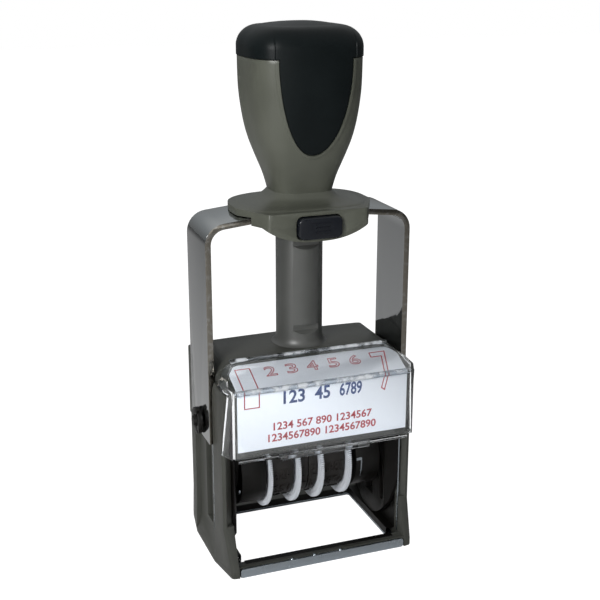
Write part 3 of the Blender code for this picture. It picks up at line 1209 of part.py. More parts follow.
def date_wheel(name, disc_start, drum_start, drum_end):
    """Toothed setting disc with the drum that carries its band."""
    teeth = []
    for at in range(2 * WHEEL_TEETH):
        radius = WHEEL_RADIUS - WHEEL_TOOTH_DEPTH * (at % 2)
        angle = math.pi * at / WHEEL_TEETH
        teeth.append((radius * math.cos(angle), WHEEL_HEIGHT + radius * math.sin(angle)))
    disc = prism(teeth, "x", disc_start, disc_start + WHEEL_DISC_WIDTH)
    drum_radius = BAND_DRUM_RADIUS - BAND_THICKNESS - DRUM_GAP
    drum = rod("x", (0.0, WHEEL_HEIGHT), drum_radius, drum_start, drum_end)
    bore = rod("x", (0.0, WHEEL_HEIGHT), WHEEL_BORE,
               disc_start - BAND_TOP, disc_start + BAND_TOP, SMALL_STEPS)
    body = cut(join(disc, drum), bore)
    return place(name, body, finish(name + "_nylon", "D9DCE2", 0.4, 0.0), (0.0, 0.0, WHEEL_HEIGHT))


def date_train():
    """Four wheels side by side on the axle, each with its band."""
    cursor = WHEEL_START_X
    for name, width, disc_first in zip(WHEEL_NAMES, BAND_WIDTHS, DISC_ON_LEFT):
        inner_edge = WHEEL_DISC_WIDTH / 2
        if disc_first:
            disc_start, band_start = cursor, cursor + WHEEL_DISC_WIDTH
            drum = (band_start - inner_edge, band_start + width)
            date_band("band_" + name, band_start + BAND_SIDE_GAP, band_start + width)
        else:
            disc_start, band_start = cursor + width, cursor
            drum = (band_start, band_start + width + inner_edge)
            date_band("band_" + name, band_start, band_start + width - BAND_SIDE_GAP)
        date_wheel("wheel_" + name, disc_start, *drum)
        cursor += width + WHEEL_DISC_WIDTH + WHEEL_GAP


def clear_scene():
    for old in list(bpy.data.objects):
        bpy.data.objects.remove(old)


def main():
    clear_scene()
    main_frame()
    guide_column()
    base_ring()
    for word, side in (("left", -1), ("right", 1)):
        guide_strip("guide_strip_" + word, side)
        cam_plate("cam_plate_" + word, side)
        pivot_hub("pivot_hub_" + word, side)
        yoke_screw("yoke_screw_" + word, side)
    index_cover()
    index_card()
    ink_tray()
    ink_pad()
    yoke()
    handle_grip()
    handle_cap()
    lock_button()
    return_spring()
    plunger_rod()
    pivot_shaft()
    platen_carrier()
    text_plate()
    band_bridge()
    wheel_axle()
    date_train()


main()
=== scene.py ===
"""Looks of the self-inking date stamp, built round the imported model, in metres with +Z up."""
import logging
import math
from collections.abc import Callable
from dataclasses import dataclass
from enum import Enum, StrEnum
from functools import cache

import bmesh
import bpy
from mathutils import Matrix, Vector


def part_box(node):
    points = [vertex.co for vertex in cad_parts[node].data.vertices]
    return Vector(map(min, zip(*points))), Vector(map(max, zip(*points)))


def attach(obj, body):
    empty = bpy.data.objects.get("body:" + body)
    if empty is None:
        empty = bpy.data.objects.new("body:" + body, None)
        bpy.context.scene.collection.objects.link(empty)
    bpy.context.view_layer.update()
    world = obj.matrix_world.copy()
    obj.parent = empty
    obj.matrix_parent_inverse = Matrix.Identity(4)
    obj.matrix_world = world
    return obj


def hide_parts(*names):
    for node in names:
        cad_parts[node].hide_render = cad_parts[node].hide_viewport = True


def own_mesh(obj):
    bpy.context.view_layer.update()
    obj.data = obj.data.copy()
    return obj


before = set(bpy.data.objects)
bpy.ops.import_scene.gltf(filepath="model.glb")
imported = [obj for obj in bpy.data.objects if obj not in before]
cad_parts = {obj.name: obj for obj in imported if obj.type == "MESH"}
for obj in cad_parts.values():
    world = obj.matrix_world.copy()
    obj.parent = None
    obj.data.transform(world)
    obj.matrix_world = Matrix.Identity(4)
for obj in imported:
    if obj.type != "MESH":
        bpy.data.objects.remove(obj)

MM = 0.001
ABS_IOR, ACRYLIC_IOR = 1.53, 1.49
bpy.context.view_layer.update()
LOG = logging.getLogger("date_stamp")

Point = tuple[float, float]
Place = tuple[float, float, float]
Outline = tuple[Point, ...]
Colour = tuple[float, float, float, float]
Rings = list[list[tuple]]
Form = bmesh.types.BMesh
Mesh = bpy.types.Mesh
Node = bpy.types.Node
Piece = bpy.types.Object
Shade = bpy.types.Material
Socket = bpy.types.NodeSocket
Tree = bpy.types.NodeTree


class Body(StrEnum):
    """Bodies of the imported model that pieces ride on."""

    FRAME = "frame"
    HANDLE = "handle"
    BUTTON = "lock_button"
    TRAY = "ink_tray"
    PLATEN = "platen"


class Side(Enum):
    """Left and right as the viewer in front sees them, with their sign along X."""

    LEFT = -1
    RIGHT = 1

    @property
    def word(self) -> str:
        """Name of the side in node names."""
        return self.name.lower()

    def flip(self, outline: Outline) -> list[Point]:
        """Lay an outline that is drawn for the right on this side."""
        return [(self.value * x, other) for x, other in outline]


def linear(sheet: str) -> Colour:
    """Turn an sRGB hex colour to linear light.

    Args:
        sheet: Six hex digits.

    Returns:
        Linear red, green and blue, and an alpha of 1.
    """
    channels = []
    for at in (0, 2, 4):
        value = int(sheet[at:at + 2], 16) / 255
        channels.append(value / 12.92 if value <= 0.04045 else ((value + 0.055) / 1.055) ** 2.4)
    return (*channels, 1.0)


def settle(tree: Tree, node: Node, settings: dict, links: dict) -> Node:
    """Give a node its settings and links.

    Args:
        tree: Node tree that the node is in.
        node: Node to set up.
        settings: Values by property name, or else by input name or number.
        links: Output sockets by input name or number.

    Returns:
        The same node.
    """
    for key, value in settings.items():
        if isinstance(key, str) and hasattr(node, key):
            setattr(node, key, value)
        else:
            node.inputs[key].default_value = value
    for key, source in links.items():
        tree.links.new(source, node.inputs[key])
    return node


def add(tree: Tree, kind: str, settings: dict | None = None, links: dict | None = None) -> Node:
    """Add a node by Blender's name of its type, which may leave out ShaderNode, and settle it."""
    node = tree.nodes.new(kind if "Node" in kind else f"ShaderNode{kind}")
    return settle(tree, node, settings or {}, links or {})


def blank(name: str) -> tuple[Shade, Tree, Node, Socket]:
    """Start a node material.

    Args:
        name: Name of the material.

    Returns:
        The material, its tree, its shader and the Object coordinates.
    """
    shade = bpy.data.materials.new(name)
    shade.use_nodes = True
    tree = shade.node_tree
    shader = tree.nodes["Principled BSDF"]
    coords = add(tree, "TexCoord").outputs["Object"]
    return shade, tree, shader, coords


def noise(tree: Tree, coords: Socket, size_mm: float, detail: float = 2.0) -> Socket:
    """Add a noise whose blotches have a real size, over coordinates in metres."""
    settings = {"Scale": 1 / (size_mm * MM), "Detail": detail}
    return add(tree, "TexNoise", settings, {"Vector": coords}).outputs[0]


def spread(tree: Tree, source: Socket, low: float, high: float) -> Socket:
    """Map the middle of a noise's range to the values from low to high."""
    settings = {"From Min": 0.3, "From Max": 0.7, "To Min": low, "To Max": high}
    return add(tree, "MapRange", settings, {"Value": source}).outputs[0]


def shift(sheet: str, factor: float) -> Colour:
    """Return a colour brightened or darkened in linear light."""
    red, green, blue, alpha = linear(sheet)
    return (min(red * factor, 1.0), min(green * factor, 1.0), min(blue * factor, 1.0), alpha)


def tint(tree: Tree, shader: Node, factor: Socket, low: Colour, high: Colour) -> None:
    """Give a shader a base colour that goes from one to another by a factor."""
    mix = add(tree, "Mix", {"data_type": "RGBA", 6: low, 7: high}, {"Factor": factor})
    tree.links.new(mix.outputs[2], shader.inputs["Base Color"])


def emboss(tree: Tree, shader: Node, height: Socket, strength: float, depth_mm: float) -> None:
    """Give a shader a bump whose depth is in millimetres."""
    bump = add(tree, "Bump", {"Strength": strength, "Distance": depth_mm * MM}, {"Height": height})
    tree.links.new(bump.outputs[0], shader.inputs["Normal"])


def either(tree: Tree, *names: str) -> Socket:
    """Return 1 for rays of two kinds, by their names on the Light Path node."""
    path = add(tree, "LightPath")
    kinds = {at: path.outputs[name] for at, name in enumerate(names)}
    return add(tree, "Math", {"operation": "MAXIMUM"}, kinds).outputs[0]


def mixed(tree: Tree, factor: Socket, first: Node, second: Node) -> Node:
    """Mix two shaders by a factor."""
    return add(tree, "MixShader", None, {0: factor, 1: first.outputs[0], 2: second.outputs[0]})


@dataclass(frozen=True)
class Finish:
    """What every finish has: its material's name, a slot name and an sRGB colour."""

    name: str
    slot: str
    colour: str

    def build(self) -> Shade:
        """Make the node material."""
        shade, tree, shader, coords = blank(self.name)
        self.paint(tree, shader, coords)
        return shade

    def paint(self, tree: Tree, shader: Node, coords: Socket) -> None:
        """Set the shader up, each kind of finish in its own way."""
        raise NotImplementedError

    def mottle(self, tree: Tree, shader: Node, source: Socket, uneven: float) -> None:
        """Let the colour vary a little to both sides."""
        low, high = (shift(self.colour, 1 + way * uneven) for way in (-1, 1))
        tint(tree, shader, spread(tree, source, 0.0, 1.0), low, high)


@dataclass(frozen=True)
class MouldedPlastic(Finish):
    """Spark-textured ABS: a fine even grain that breaks the gloss, a little shine on worn spots."""

    roughness: float = 0.5
    grain_mm: float = 0.35
    grain_depth_mm: float = 0.012
    handling_mm: float = 14.0
    uneven: float = 0.10
    shine: float = 0.5

    def paint(self, tree: Tree, shader: Node, coords: Socket) -> None:
        """Vary colour and gloss as handling does, and break the gloss with the grain."""
        broad = noise(tree, coords, self.handling_mm)
        self.mottle(tree, shader, broad, self.uneven)
        gloss = spread(tree, broad, self.roughness - 0.05, self.roughness + 0.05)
        settle(tree, shader, {"Specular IOR Level": self.shine, "IOR": ABS_IOR}, {"Roughness": gloss})
        emboss(tree, shader, noise(tree, coords, self.grain_mm, 3.0), 0.5, self.grain_depth_mm)


@dataclass(frozen=True)
class PlatedMetal(Finish):
    """Bright chromium or plain steel: mirror-like, with faint handling smears and rolling lines."""

    roughness: float = 0.10
    smear_mm: float = 9.0
    line_mm: float = 0.25
    line_depth_mm: float = 0.001
    # Colour of the painted dark reflection on faces that face front and back
    edge_reflection_colour: str = ""
    edge_patch_mm: float = 1.3

    def paint(self, tree: Tree, shader: Node, coords: Socket) -> None:
        """Smear the mirror and draw fine lines along Z."""
        smear = noise(tree, coords, self.smear_mm, 4.0)
        gloss = spread(tree, smear, self.roughness * 0.7, self.roughness * 1.5)
        settle(tree, shader, {"Base Color": linear(self.colour), "Metallic": 1.0}, {"Roughness": gloss})
        drawn = add(tree, "Mapping", {"Scale": (1.0, 1.0, 0.03)}, {"Vector": coords})
        emboss(tree, shader, noise(tree, drawn.outputs[0], self.line_mm), 0.3, self.line_depth_mm)
        if self.edge_reflection_colour:
            self.paint_edge_reflection(tree, shader, coords)

    def paint_edge_reflection(self, tree: Tree, shader: Node, coords: Socket) -> None:
        """Darken the faces that face front and back, in patches: a painted dark reflection on the strap's sheared
        edges.
        """
        facing = add(tree, "SeparateXYZ", None, {0: add(tree, "TexCoord").outputs["Normal"]})
        front_back_facing = add(tree, "Math", {"operation": "ABSOLUTE"}, {0: facing.outputs[1]})
        patches = noise(tree, coords, self.edge_patch_mm, 4.0)
        edge = add(tree, "Math", {"operation": "MULTIPLY_ADD", 1: 0.5}, {0: patches, 2: front_back_facing.outputs[0]})
        part = add(tree, "MapRange", {"From Min": 0.95, "From Max": 1.25}, {"Value": edge.outputs[0]})
        tint(tree, shader, part.outputs[0], linear(self.colour), linear(self.edge_reflection_colour))


@dataclass(frozen=True)
class ClearAcrylic(Finish):
    """Polished acrylic: clear on its flats, bright and dark along its rims, with faint haze; a rim can have painted
    highlight streaks.
    """

    haze_mm: float = 12.0
    # Size of the painted highlight streaks; none when 0
    highlight_streak_mm: float = 0.0

    def paint(self, tree: Tree, shader: Node, coords: Socket) -> None:
        """Let light through and, on a rim, paint broken highlight streaks by making the acrylic pale and opaque in
        patches.
        """
        colour = linear(self.colour)
        gloss = spread(tree, noise(tree, coords, self.haze_mm, 4.0), 0.01, 0.05)
        settings = {"Base Color": colour, "IOR": ACRYLIC_IOR, "Transmission Weight": 1.0}
        settle(tree, shader, settings, {"Roughness": gloss})
        if self.highlight_streak_mm:
            painted_streaks = noise(tree, coords, self.highlight_streak_mm, 3.0)
            settings = {"From Min": 0.42, "From Max": 0.62, "To Min": 1.0, "To Max": 0.15}
            broken = add(tree, "MapRange", settings, {"Value": painted_streaks})
            tree.links.new(broken.outputs[0], shader.inputs["Transmission Weight"])
        clear = add(tree, "BsdfTransparent", {"Color": colour})
        whole = mixed(tree, either(tree, "Is Shadow Ray", "Is Diffuse Ray"), shader, clear)
        tree.links.new(whole.outputs[0], tree.nodes["Material Output"].inputs["Surface"])


@dataclass(frozen=True)
class FibreSheet(Finish):
    """Card or felt: a dull surface with fibres that show as a faint mottle and tooth."""

    roughness: float = 0.75
    fibre_mm: float = 0.4
    tooth_mm: float = 0.01
    uneven: float = 0.03

    def paint(self, tree: Tree, shader: Node, coords: Socket) -> None:
        """Mottle the colour and raise the tooth with the same fibres."""
        fibres = noise(tree, coords, self.fibre_mm, 5.0)
        self.mottle(tree, shader, fibres, self.uneven)
        settle(tree, shader, {"Roughness": self.roughness}, {})
        emboss(tree, shader, fibres, 0.4, self.tooth_mm)


@cache
def shade_of(finish: Finish) -> Shade:
    """Return a finish's material, made on its first use."""
    return finish.build()


GRIP_ABS = MouldedPlastic("grip_abs", "grip_moulding", "4C4E46", 0.34, 0.45, 0.012, shine=0.22)
FRAME_ABS = MouldedPlastic("frame_abs", "frame_moulding", "3B3C38", 0.40, 0.40, 0.010, shine=0.2)
COLUMN_ABS = MouldedPlastic("column_abs", "frame_moulding", "424341", 0.37, 0.40, 0.004, shine=0.4)
CAP_ABS = MouldedPlastic("cap_abs", "black_moulding", "0C1112", 0.40, 0.40, 0.006, shine=0.09)
BUTTON_ABS = MouldedPlastic("button_abs", "black_moulding", "0D1016", 0.26, 0.40, 0.003, shine=0.25)
INNER_ABS = MouldedPlastic("inner_abs", "black_moulding", "0B0A09", 0.42, 0.40, 0.008, shine=0.14)
BAND_RUBBER = MouldedPlastic("band_rubber", "band_rubber", "14110F", 0.60, 0.5, 0.02, shine=0.3)
TEXT_RUBBER = MouldedPlastic("text_rubber", "text_rubber", "7A3A34", 0.65, 0.5, 0.02)
WHEEL_NYLON = MouldedPlastic("wheel_nylon", "wheel_nylon", "CDD1D7", 0.40, 0.5, 0.006, uneven=0.03)
BLUE_INK = MouldedPlastic("blue_ink", "card_stock", "1E3C73", 0.55, 0.5, 0.002, uneven=0.12)
RED_INK = MouldedPlastic("red_ink", "card_stock", "A81E2E", 0.55, 0.5, 0.002, uneven=0.10)
# The chrome's second colour is a painted dark reflection on its front and back faces.
CHROME = PlatedMetal("yoke_chrome", "chrome_plate", "A6A8A9", 0.09, edge_reflection_colour="77736B")
STEEL = PlatedMetal("plain_steel", "plain_steel", "969DA3", 0.24)
ACRYLIC = ClearAcrylic("clear_acrylic", "clear_cover", "F6F8FA")
# The pale opaque streaks on the rim beads are painted highlights.
RIM_ACRYLIC = ClearAcrylic("rim_acrylic", "clear_cover", "CDD1D5", highlight_streak_mm=3.6)
CARD = FibreSheet("card_stock", "card_stock", "F3F5F9")
FELT = FibreSheet("inked_felt", "inked_felt", "1B2238", 0.95, 0.6, 0.08, 0.25)


def record_piece(piece: Piece, finish: Finish, body: str, *nodes: str) -> None:
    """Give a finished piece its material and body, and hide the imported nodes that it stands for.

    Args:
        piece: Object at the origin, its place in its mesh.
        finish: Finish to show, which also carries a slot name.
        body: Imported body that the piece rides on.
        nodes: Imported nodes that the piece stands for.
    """
    piece.data.materials.clear()
    piece.data.materials.append(shade_of(finish))
    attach(piece, body)
    if nodes:
        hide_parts(*nodes)
    LOG.info("%s rides on %s", piece.name, body)


def placed(name: str, data: bpy.types.ID) -> Piece:
    """Put an object with its data in the scene."""
    item = bpy.data.objects.new(name, data)
    bpy.context.scene.collection.objects.link(item)
    return item


def link(mesh: Mesh, name: str, smooth_deg: float = 35.0) -> Piece:
    """Put a mesh in the scene as a piece, round faces smooth and corners sharp."""
    mesh.shade_smooth()
    mesh.set_sharp_from_angle(angle=math.radians(smooth_deg))
    return placed(name, mesh)


def poured(form: Form, name: str) -> Mesh:
    """Pour a bmesh into a new mesh as it is, and free it."""
    mesh = bpy.data.meshes.new(name)
    form.to_mesh(mesh)
    form.free()
    return mesh


def gathered(forms: list[Form]) -> Form:
    """Join bmeshes into one."""
    whole = bmesh.new()
    for form in forms:
        part = poured(form, "part")
        whole.from_mesh(part)
        bpy.data.meshes.remove(part)
    return whole


def opened(mesh: Mesh, merge_mm: float) -> Form:
    """Open a mesh as a bmesh, its near points merged."""
    form = bmesh.new()
    form.from_mesh(mesh)
    bmesh.ops.remove_doubles(form, verts=form.verts, dist=merge_mm * MM)
    return form


def to_mesh(form: Form, name: str) -> Mesh:
    """Turn a bmesh into a mesh with merged points and faces that point out."""
    bmesh.ops.remove_doubles(form, verts=form.verts, dist=0.001 * MM)
    bmesh.ops.recalc_face_normals(form, faces=form.faces)
    return poured(form, name)


def merged_copy(node: str) -> Mesh:
    """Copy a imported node's mesh with its points merged and its flat faces made whole."""
    form = opened(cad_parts[node].data, 0.002)
    bmesh.ops.dissolve_limit(form, angle_limit=math.radians(0.8), verts=form.verts, edges=form.edges)
    return poured(form, node + "_copy")


def welded(mesh: Mesh) -> Mesh:
    """Merge the slivers that a bevel leaves and split faces flat, so that later cuts stay exact."""
    form = opened(mesh, 0.01)
    bmesh.ops.dissolve_degenerate(form, dist=0.01 * MM, edges=form.edges)
    bmesh.ops.triangulate(form, faces=form.faces)
    return to_mesh(form, mesh.name)


def baked(piece: Piece, name: str) -> Mesh:
    """Return the evaluated mesh of a scratch object and remove the object."""
    graph = bpy.context.evaluated_depsgraph_get()
    mesh = bpy.data.meshes.new_from_object(piece.evaluated_get(graph))
    mesh.name = name
    bpy.data.objects.remove(piece)
    return mesh


def rounded(mesh: Mesh, name: str, edge_mm: float, segments: int = 2, angle_deg: float = 32.0) -> Piece:
    """Link a mesh as a piece and round its edges as a mould or a tumbler would.

    Args:
        mesh: Closed mesh.
        name: Name of the piece.
        edge_mm: Radius of the rounding.
        segments: Steps across the rounding.
        angle_deg: Least angle of an edge that is rounded.

    Returns:
        The piece with its rounding baked in.
    """
    scratch = link(mesh, name + "_raw")
    bevel = scratch.modifiers.new("edges", "BEVEL")
    bevel.width = edge_mm * MM
    bevel.segments = segments
    bevel.limit_method = "ANGLE"
    bevel.angle_limit = math.radians(angle_deg)
    return link(baked(scratch, name), name, 40.0)


def dress(node: str, name: str, finish: Finish, body: Body, edge_mm: float, segments: int = 2) -> None:
    """Stand a round-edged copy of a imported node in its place."""
    record_piece(rounded(merged_copy(node), name, edge_mm, segments), finish, body, node)


def eased(share: float, power: float) -> float:
    """Raise a share to a power and keep its sign."""
    return math.copysign(abs(share) ** power, share)


def ring_loft(rings: Rings) -> Mesh:
    """Skin a closed solid over rings.

    Args:
        rings: Rings with equal numbers of points in millimetres, from one end to the other.

    Returns:
        The solid, in metres.
    """
    form = bmesh.new()
    rows = [[form.verts.new(Vector(point) * MM) for point in ring] for ring in rings]
    count = len(rows[0])
    for low, high in zip(rows, rows[1:]):
        for at in range(count):
            after = (at + 1) % count
            form.faces.new((low[at], low[after], high[after], high[at]))
    form.faces.new(reversed(rows[0]))
    form.faces.new(rows[-1])
    return to_mesh(form, "form")


def extrude(outline: list[Point], axis: str, start: float, end: float) -> Mesh:
    """Extrude a flat outline in millimetres along an axis; the outline holds the other two coordinates."""
    lift = {"x": lambda p, s: (s, p[0], p[1]), "y": lambda p, s: (p[0], s, p[1]), "z": lambda p, s: (p[0], p[1], s)}
    return ring_loft([[lift[axis](point, along) for point in outline] for along in (start, end)])


def box(low: Place, high: Place) -> Mesh:
    """Make a box from its corners in millimetres."""
    outline = [(low[0], low[1]), (high[0], low[1]), (high[0], high[1]), (low[0], high[1])]
    return extrude(outline, "z", low[2], high[2])


def arc(centre: Point, radius: float, start: float, end: float, steps: int) -> list[Point]:
    """List the points of an arc, its angles in degrees."""
    angles = [math.radians(start + (end - start) * step / steps) for step in range(steps + 1)]
    return [(centre[0] + radius * math.cos(a), centre[1] + radius * math.sin(a)) for a in angles]


def ring(centre: Point, radius: float, steps: int = 96) -> list[Point]:
    """List the points of a circle."""
    return arc(centre, radius, 0, 360, steps)[:-1]


def pill(half_x: float, half_y: float, radius: float, centre: Point = (0.0, 0.0), steps: int = 8) -> list[Point]:
    """List the outline of a rectangle with round corners."""
    points = []
    for sign_x, sign_y, start in ((1, 1, 0), (-1, 1, 90), (-1, -1, 180), (1, -1, 270)):
        corner = (centre[0] + sign_x * (half_x - radius), centre[1] + sign_y * (half_y - radius))
        points += arc(corner, radius, start, start + 90, steps)
    return points


def turned(profile: list[Point], axis: str, centre: Point, steps: int = 96) -> Mesh:
    """Turn a profile round an axis.

    Args:
        profile: Places along the axis, each with its radius.
        axis: x or z.
        centre: The axis's place in the other two coordinates.
        steps: Points of a ring.

    Returns:
        The closed solid.
    """
    rings = []
    for along, radius in profile:
        flat = ring(centre, radius, steps)
        rings.append([(along, *p) if axis == "x" else (*p, along) for p in flat])
    return ring_loft(rings)


def through(points: Outline, steps: int) -> list[Point]:
    """Draw a smooth curve through points.

    Args:
        points: Points that the curve meets.
        steps: Steps between each two of them.

    Returns:
        The points of the curve, both ends included.
    """
    curve = []
    last = len(points) - 1
    for at in range(last):
        p0, p1, p2, p3 = (points[max(0, min(last, at + offset))] for offset in (-1, 0, 1, 2))
        for step in range(steps):
            t = step / steps
            curve.append(tuple(
                0.5 * (2 * b + (c - a) * t + (2 * a - 5 * b + 4 * c - d) * t * t + (3 * b - a - 3 * c + d) * t ** 3)
                for a, b, c, d in zip(p0, p1, p2, p3)))
    return curve + [points[-1]]


def boolean(mesh: Mesh, others: list[Mesh], operation: str) -> Mesh:
    """Join, cut or intersect solids with exact Booleans.

    Args:
        mesh: Solid to work on.
        others: Solids that work on it, one after the other.
        operation: UNION, DIFFERENCE or INTERSECT.

    Returns:
        The new solid.
    """
    body = placed("boolean_body", mesh)
    tools = [placed("boolean_tool", other) for other in others]
    for tool in tools:
        step = body.modifiers.new("step", "BOOLEAN")
        step.operation = operation
        step.solver = "EXACT"
        step.object = tool
    result = baked(body, "boolean_result")
    for tool in tools:
        bpy.data.objects.remove(tool)
    return result


def glyphs(text: str, width: float, height: float, depth: float, mirrored: bool = False,
           weight: float = 0.0) -> Form:
    """Make raised figures that fill a flat box, in millimetres, with their lower left corner at the origin.

    Args:
        text: Figures and spaces.
        width: Width of the whole line.
        height: Height of the figures.
        depth: How far they stand up.
        mirrored: True on a printing face, which reads backwards.
        weight: How much the strokes are thickened, as a share of the letter size.

    Returns:
        A bmesh in millimetres: X along the line, Y up the figure, Z out of the sheet.
    """
    curve = bpy.data.curves.new("figures", "FONT")
    curve.body = text
    curve.resolution_u = 3
    curve.extrude = 0.5
    curve.offset = weight
    form = opened(baked(placed("figures", curve), "figures"), 0.1)
    low = [min(v.co[axis] for v in form.verts) for axis in range(3)]
    high = [max(v.co[axis] for v in form.verts) for axis in range(3)]
    size = (width, height, depth)
    for vert in form.verts:
        vert.co = [(vert.co[axis] - low[axis]) / (high[axis] - low[axis]) * size[axis] for axis in range(3)]
        if mirrored:
            vert.co.x = width - vert.co.x
    if mirrored:
        bmesh.ops.reverse_faces(form, faces=form.faces)
    return form


def ribbon(loop: list[Point], width: float, depth: float) -> Form:
    """Make a closed flat line of even width, in millimetres.

    Args:
        loop: Points that the line's middle runs round.
        width: Width of the line.
        depth: How far it stands up.

    Returns:
        The line as a closed bmesh.
    """
    form = bmesh.new()
    rows = []
    count = len(loop)
    for at in range(count):
        before, point, after = Vector(loop[at - 1]), Vector(loop[at]), Vector(loop[(at + 1) % count])
        first, second = (point - before).normalized(), (after - point).normalized()
        normal = Vector((-(first.y + second.y), first.x + second.x)).normalized()
        reach = width / 2 / max(0.35, normal.dot(Vector((-first.y, first.x))))
        inner, outer = point + normal * reach, point - normal * reach
        rows.append([form.verts.new((*flat, level)) for flat, level in
                     ((inner, 0.0), (outer, 0.0), (outer, depth), (inner, depth))])
    for at in range(count):
        row, following = rows[at], rows[(at + 1) % count]
        for side in range(4):
            after = (side + 1) % 4
            form.faces.new((row[side], row[after], following[after], following[side]))
    return form


def outlined(text: str, width: float, height: float, line: float, depth: float) -> Form:
    """Make a figure drawn as an outline only, in millimetres.

    Args:
        text: The figure.
        width: Width of the box that it fills.
        height: Height of that box.
        line: Width of the drawn line.
        depth: How far the line stands up.

    Returns:
        The figure's lines, one round each edge of the filled figure.
    """
    filled = glyphs(text, width, height, 1.0)
    flat = [face for face in filled.faces if abs(face.normal.z) < 0.5 or face.calc_center_median().z < 0.5]
    bmesh.ops.delete(filled, geom=flat, context="FACES")
    edges = {edge for edge in filled.edges if edge.is_boundary}
    loops = []
    while edges:
        edge = edges.pop()
        start, here = edge.verts
        loop = [start.co.xy[:], here.co.xy[:]]
        while here is not start:
            edge = next((e for e in here.link_edges if e in edges), None)
            if edge is None:
                break
            edges.discard(edge)
            here = edge.other_vert(here)
            loop.append(here.co.xy[:])
        if loop[0] == loop[-1]:
            loop.pop()
        loops.append(loop)
    filled.free()
    return gathered([ribbon(loop, line, depth) for loop in loops])


def mapped(forms: list[tuple[Form, Point]], place: Callable[..., tuple], name: str,
           cuts: tuple[float, ...] = ()) -> Mesh:
    """Lay flat forms on a bent sheet and join them to one mesh.

    Args:
        forms: Flat forms in millimetres, each with the place of its lower left corner on the sheet.
        place: Function from a place on the sheet and a height above it to a point in millimetres.
        name: Name of the mesh.
        cuts: Places along the sheet's second coordinate where it bends, so that faces are split there.

    Returns:
        The mesh in metres.
    """
    for form, (x, s) in forms:
        bmesh.ops.translate(form, vec=(x, s, 0.0), verts=form.verts)
        for cut_at in cuts:
            bmesh.ops.bisect_plane(form, geom=form.verts[:] + form.edges[:] + form.faces[:],
                                   plane_co=(0.0, cut_at, 0.0), plane_no=(0.0, 1.0, 0.0))
    whole = gathered([form for form, _ in forms])
    for vert in whole.verts:
        vert.co = Vector(place(*vert.co)) * MM
    bmesh.ops.recalc_face_normals(whole, faces=whole.faces)
    return poured(whole, name)


